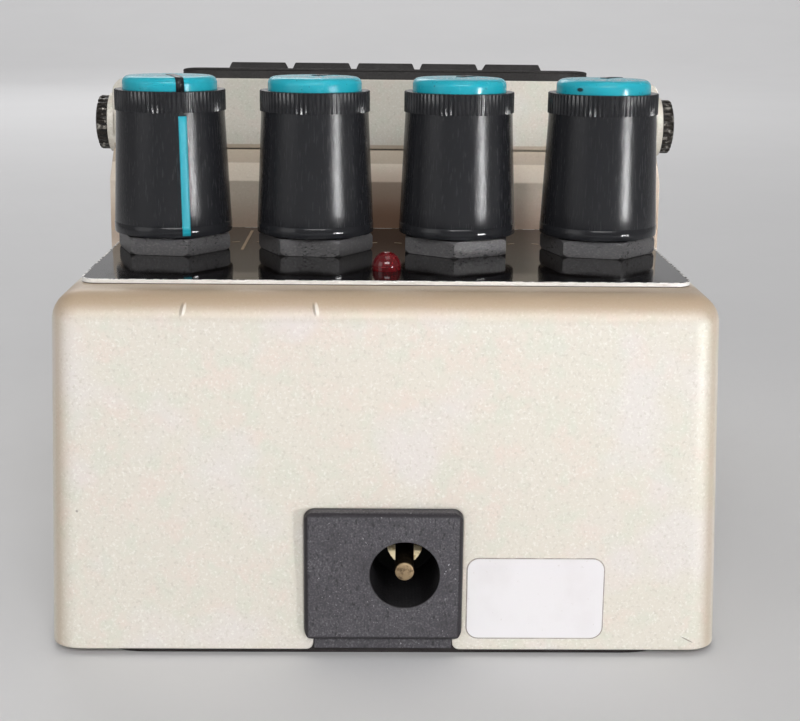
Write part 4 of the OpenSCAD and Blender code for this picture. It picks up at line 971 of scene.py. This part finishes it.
def make_plate():
    """The control plate with its bare edge, plain ticks by its dials and one plain line."""
    corner, edge_w, lift = 1.8, 0.2, 0.01
    tick_w, tick_l, tick_reach, tick_turns = 0.3, 1.0, 8.1, (-150, -120, 120, 150)
    line_w, line_l, line_shift, line_back = 0.35, 14.3, 0.25, 10.0
    dress("control_plate", 0.06)
    width, depth = PLATE_HIGH.x - PLATE_LOW.x, PLATE_HIGH.y - PLATE_LOW.y
    centre = (PLATE_HIGH + PLATE_LOW) / 2
    outer = rounded_rect(width + 2 * PROUD, depth + 2 * PROUD, corner + PROUD)
    inner = rounded_rect(width - 2 * edge_w, depth - 2 * edge_w, corner - edge_w)
    shape = frame_ring(outer, inner, DECK_Z + lift, PLATE_TOP + lift)
    edge = add_piece("plate_edge", *shape, "housing", "gloss_black", bare_edge(),
                     place=Matrix.Translation((centre.x, centre.y, 0)))
    soften(edge, 0.04)

    marks = []
    tick = slab(rounded_rect(tick_w, tick_l, 0.1, 3), 0, PROUD)
    axes = [dial_axis(name) for name in DIALS]
    for x, y in axes:
        for angle in tick_turns:
            place = Matrix.Translation((x, y, PLATE_TOP)) @ turned(angle, "Z")
            marks.append(moved(tick, place @ Matrix.Translation((0, tick_reach, 0))))
    line_x = (axes[0][0] + axes[1][0]) / 2 + line_shift
    divider = slab(rounded_rect(line_w, line_l, 0.1, 3), 0, PROUD)
    marks.append(moved(divider, Matrix.Translation((line_x, PLATE_LOW.y + line_back, PLATE_TOP))))
    add_piece("plate_marks", *joined(*marks), "housing", "gloss_black", print_pale())


def make_lamp():
    """The lamp's dome with a thin collar."""
    radius, collar_w, collar_h, sides = 1.6, 0.4, 1.0, 48
    low, high = span("led")
    collar_r, collar_top = radius + collar_w, low.z + collar_h
    profile = [(0, low.z), (collar_r, low.z), (collar_r, collar_top), (radius, collar_top)]
    profile += arc((0, high.z - radius), radius, 0, 90, 12)
    profile[-1] = (0, high.z)
    place = Matrix.Translation(((low.x + high.x) / 2, (low.y + high.y) / 2, 0))
    add_piece("led_dome", *lathe(profile, sides), "housing", "red_lens", replaces=("led",), place=place)


def make_label():
    """The blank label beside the power inlet, on a slightly larger film."""
    width, height, corner = 14.8, 9.1, 1.25
    middle_x, lift = -16.35, 1.4
    film_w, film_t, paper_t = 0.25, 0.03, 0.06
    middle_z = FOOT_Z + lift + height / 2
    face_y = REAR_FOOT_Y - REAR_LEAN * (middle_z - FOOT_Z)
    place = Matrix.Translation((middle_x, face_y, middle_z)) @ Matrix.Rotation(math.atan(REAR_LEAN), 4, "X")
    place = place @ turned(-90, "X")
    film = slab(rounded_rect(width + film_w, height + film_w, corner + 0.1), -film_t, film_t)
    face = slab(rounded_rect(width, height, corner), film_t, film_t + paper_t)
    add_piece("label_film", *film, "housing", "pearl_paint", label_film(), place=place)
    soften(add_piece("label_face", *face, "housing", "pearl_paint", label_white(), place=place), 0.025)


def make_inlet():
    """The power inlet's moulded block, its centre pin and two leaf contacts."""
    dress("inlet_block", 0.12)
    radius, length, sides = (PIN_HIGH.x - PIN_LOW.x) / 2, PIN_HIGH.y - PIN_LOW.y, 40
    profile = [(0, 0), (radius, 0), (radius, length - 0.25), (radius * 0.94, length - 0.1)]
    profile += [(radius * 0.8, length - 0.02), (radius * 0.4, length), (0, length)]
    place = Matrix.Translation((PIN_X, PIN_LOW.y, PIN_Z)) @ turned(-90, "X")
    # Only the pin's tip is left out of the painted shade inside the bore
    unshaded_tip = ((PIN_X, PIN_HIGH.y, PIN_Z), (2, 0.35, 2))
    dull = old_brass("dull_brass", PIN_BRASS, PIN_DIRT, unshaded_tip)
    add_piece("inlet_centre_pin", *lathe(profile, sides), "housing", "brass", dull,
              replaces=("inlet_pin",), place=place)
    low, high = span("inlet_contacts")
    leaves = joined(*(contact_leaf(low, high, side) for side in (-1, 1)))
    add_piece("inlet_leaves", *leaves, "housing", "brass", old_brass("leaf_brass", LEAF_BRASS, LEAF_DIRT),
              replaces=("inlet_contacts",))


def contact_leaf(low, high, side):
    """Points and faces of one contact: a flat strip whose pointed end bends down into the hole."""
    leaf_w, leaf_t, spread, slant = 0.9, 0.25, 0.1, 0.05
    half = leaf_w / 2
    x = (low.x + high.x) / 2 + side * ((high.x - low.x) / 2 - half + spread)
    # Distance behind the tip, drop below the contact's top, and outer edge as a share of the half width
    bend = ((high.y - low.y, leaf_t, 1.0), (1.6, leaf_t, 1.0), (0.6, 0.3, 1.1),
            (0.1, 0.75, 0.8), (0.0, 1.3, 0.1), (-0.05, 1.75, -0.7))
    verts = []
    for back, drop, outer in bend:
        y, z = high.y - back, high.z - drop
        near, far = x - side * half, x + side * half * outer
        verts += [(near, y, z), (far, y, z), (far, y - leaf_t, z + slant), (near, y - leaf_t, z + slant)]
    ends = [tuple(range(4)), tuple(range(len(verts) - 4, len(verts)))]
    return verts, ends + tube_faces(len(bend), 4)


def make_pivots():
    """The hinge screws, with a worn, serrated rim around each head."""
    head_t, crown, serrations, cut, sharp = 1.65, 0.55, 26, 0.16, 25
    groove = (0, 0.3, 1, 0.3)
    dress("pivot_screws", 0.1)
    low, high = span("pivot_screws")
    radius, shoulder = (high.z - low.z) / 2, head_t - crown
    profile = [(radius - 0.3, 0.05), (radius + 0.04, 0.05), (radius + 0.06, 0.2), (radius + 0.06, shoulder)]
    profile += [(radius - 0.06, shoulder + 0.25), (radius - 0.3, shoulder + 0.1)]
    rim = lathe(profile, serrations * len(groove), closed=True, ripple=ribbed((1, 2, 3, 4), groove, cut))
    rims = []
    for side, outer in ((1, high.x), (-1, low.x)):
        place = Matrix.Translation((outer - side * head_t, HINGE.y, HINGE.z)) @ turned(90 * side, "Y")
        rims.append(moved(rim, place))
    add_piece("pivot_rims", *joined(*rims), "housing", "black_screw", worn_screw(), sharp=sharp)


def make_tread():
    """The rubber tread: a sheet with a raised rim and rows of chamfered blocks."""
    length, corner, border = 46.5, 3.0, 6.2
    start, seat = 16.5, 5.477
    sheet_t, rim_w, rim_h, lap = 3.7, 1.2, 0.4, 0.05
    columns, rows, block_h, block_step, block_gap, chamfer = 5, 4, 1.4, 0.1, 0.2, 0.55
    low, high = span("treadle_pad")
    width = high.x - low.x
    pitch = (width - 2 * border) / columns
    outline = rounded_rect(width, length, corner)
    inside = rounded_rect(width - 2 * rim_w, length - 2 * rim_w, corner - rim_w)
    shapes = [slab(outline, 0, sheet_t - rim_h + lap)]
    shapes.append(frame_ring(outline, inside, sheet_t - rim_h, sheet_t))
    foot = pitch / 2 - block_gap
    levels = ((foot, sheet_t - rim_h), (foot, sheet_t + block_step), (foot - chamfer, sheet_t + block_h))
    for column in range(columns):
        for row in range(rows):
            x, y = (column - (columns - 1) / 2) * pitch, (row - (rows - 1) / 2) * pitch
            verts = [(x + half * a, y + half * b, z) for half, z in levels
                     for a, b in ((-1, -1), (1, -1), (1, 1), (-1, 1))]
            shapes.append((verts, [(3, 2, 1, 0), (8, 9, 10, 11)] + tube_faces(len(levels), 4)))
    place = TREADLE_FRAME @ Matrix.Translation((0, -start - length / 2, seat))
    tread = add_piece("treadle_tread", *joined(*shapes), "treadle", "tread_rubber",
                      replaces=("treadle_pad",), place=place)
    soften(tread, 0.14)


def make_jacks():
    """Threaded bushes with a rounded mouth, and their nuts and washers."""
    bore, crest, thread, pitch, plain, sides = 3.25, 4.75, 0.28, 0.8, 0.3, 72
    for name, side in (("input", 1), ("output", -1), ("direct", -1)):
        low, high = span(name + "_bush")
        length = high.x - low.x
        profile = [(bore, 0), (crest, 0)]
        for i in range(int((length - 2 * plain) / pitch)):
            profile += [(crest, plain + i * pitch), (crest - thread, plain + (i + 0.5) * pitch)]
        profile += [(crest, length - 0.5), (crest - 0.35, length - 0.05), (crest - 0.6, length),
                    (bore + 0.45, length), (bore + 0.08, length - 0.3), (bore, length - 0.6)]
        start = (low.x if side > 0 else high.x, (low.y + high.y) / 2, (low.z + high.z) / 2)
        add_piece(name + "_bush_thread", *lathe(profile, sides, closed=True), "housing", "nickel",
                  replaces=(name + "_bush",), place=Matrix.Translation(start) @ turned(90 * side, "Y"))
    dress("jack_nuts", 0.18)
    dress("jack_washers", 0.1)


def make_spring():
    """The treadle's coil spring in round wire, with room above it for the treadle's press."""
    radius, wire, seat_gap, turns, steps, sides = 5.0, 0.6, 0.05, 5, 28, 12
    low, high = SPRING_SEAT + wire + seat_gap, TREADLE_UNDERSIDE - wire - seat_gap - PRESS_ROOM
    count = turns * steps
    verts = []
    for i in range(count + 1):
        turn = 2 * math.pi * i / steps
        height = low + (high - low) * i / count
        for k in range(sides):
            a = 2 * math.pi * k / sides
            reach = radius + wire * math.cos(a)
            verts.append((reach * math.cos(turn), reach * math.sin(turn), height + wire * math.sin(a)))
    faces = tube_faces(count + 1, sides)
    faces += [tuple(range(sides)), tuple(count * sides + k for k in range(sides))]
    place = TREADLE_FRAME @ Matrix.Translation((-SWITCH_X, -SWITCH_REACH, 0))
    add_piece("spring_coil", verts, faces, "housing", "steel", replaces=("return_spring",), place=place)


def make_boot():
    """The switch's rubber plunger with two soft folds, with room above it for the treadle's press."""
    radius, full_height, sides = 4.2, 8.1, 48
    height = full_height - PRESS_ROOM
    profile = [(0, 0), (radius, 0), (radius, 2.4), (radius - 0.15, 2.7), (radius - 0.8, 3.1)]
    profile += [(radius - 0.95, 3.5), (radius - 0.75, 3.9), (radius - 0.75, 4.2), (radius - 1.0, 4.6)]
    profile += [(radius - 0.8, 5.0), (radius - 0.8, height - 0.5), (radius - 0.95, height - 0.15)]
    profile += [(radius - 1.3, height), (0, height)]
    place = TREADLE_FRAME @ Matrix.Translation((SWITCH_X, -SWITCH_REACH, PLUNGER_FOOT))
    add_piece("switch_plunger", *lathe(profile, sides), "housing", "tread_rubber",
              replaces=("switch_boot",), place=place)


# Stage


def make_stage():
    """A pale floor that sweeps up far beyond the pedal, as the camera sees it, in metres."""
    half, rear, front, bend, wall, steps = 4.0, 3.0, -2.2, 1.2, 2.5, 10
    line = [(rear, 0.0), (front + bend, 0.0)]
    line += [(front + bend - bend * math.sin(a), bend - bend * math.cos(a))
             for a in (math.radians(90 / steps * i) for i in range(1, steps + 1))]
    line.append((front, wall))
    verts = [(x, y, z) for y, z in line for x in (-half, half)]
    mesh = bpy.data.meshes.new("floor")
    mesh.from_pydata(verts, [], grid_faces(len(line) - 1, 1))
    mesh.materials.append(floor_pale())
    mesh.shade_smooth()
    floor = bpy.data.objects.new("floor", mesh)
    bpy.context.scene.collection.objects.link(floor)


def make_lights():
    """Soft area lamps around the pedal and an even, dim world."""
    for name, place, aim, size, power, spread in LAMPS:
        data = bpy.data.lights.new(name, "AREA")
        data.shape = "RECTANGLE"
        data.size, data.size_y = size
        data.energy = power
        data.spread = math.radians(spread)
        lamp = bpy.data.objects.new(name, data)
        lamp.location = place
        lamp.rotation_euler = (Vector(aim) - Vector(place)).to_track_quat("-Z", "Y").to_euler()
        bpy.context.scene.collection.objects.link(lamp)
    world = bpy.data.worlds.new("world")
    world.use_nodes = True
    background = world.node_tree.nodes["Background"]
    background.inputs["Color"].default_value = WORLD_COLOUR
    background.inputs["Strength"].default_value = WORLD_STRENGTH
    bpy.context.scene.world = world


def make_camera():
    """The photograph's view."""
    pitch, yaw, roll = (math.radians(a) for a in (CAMERA_PITCH, CAMERA_YAW, CAMERA_ROLL))
    ahead = Vector((-math.sin(yaw) * math.cos(pitch), -math.cos(yaw) * math.cos(pitch), -math.sin(pitch)))
    level = ahead.cross(Vector((0, 0, 1))).normalized()
    down = ahead.cross(level)
    right = level * math.cos(roll) + down * math.sin(roll)
    up = right.cross(ahead)
    data = bpy.data.cameras.new("camera")
    data.sensor_width = SENSOR_W
    data.lens = FOCAL_PX * SENSOR_W / IMAGE_W_PX
    data.clip_start, data.clip_end = CLIP_M
    camera = bpy.data.objects.new("camera", data)
    view = Matrix((right, up, -ahead)).transposed().to_4x4()
    camera.matrix_world = Matrix.Translation(Vector(CAMERA_PLACE) * MM) @ view
    bpy.context.scene.collection.objects.link(camera)
    bpy.context.scene.camera = camera


for node, obj in frame["nodes"].items():
    obj.data.materials.clear()
    obj.data.materials.append(LOOKS[SLOT_OF[node]])

side_line_paint = pointer_teal()
for dial in DIALS:
    make_dial(dial, side_line_paint)
make_plate()
make_lamp()
make_label()
make_inlet()
make_pivots()
make_tread()
dress("base_rubber", 0.12)
make_jacks()
make_spring()
make_boot()
dress("housing")
dress("treadle")
dress("control_nuts", 0.06)
dress("thumbscrew", 0.12)
make_stage()
make_lights()
make_camera()
bpy.context.scene.view_settings.view_transform = "Standard"
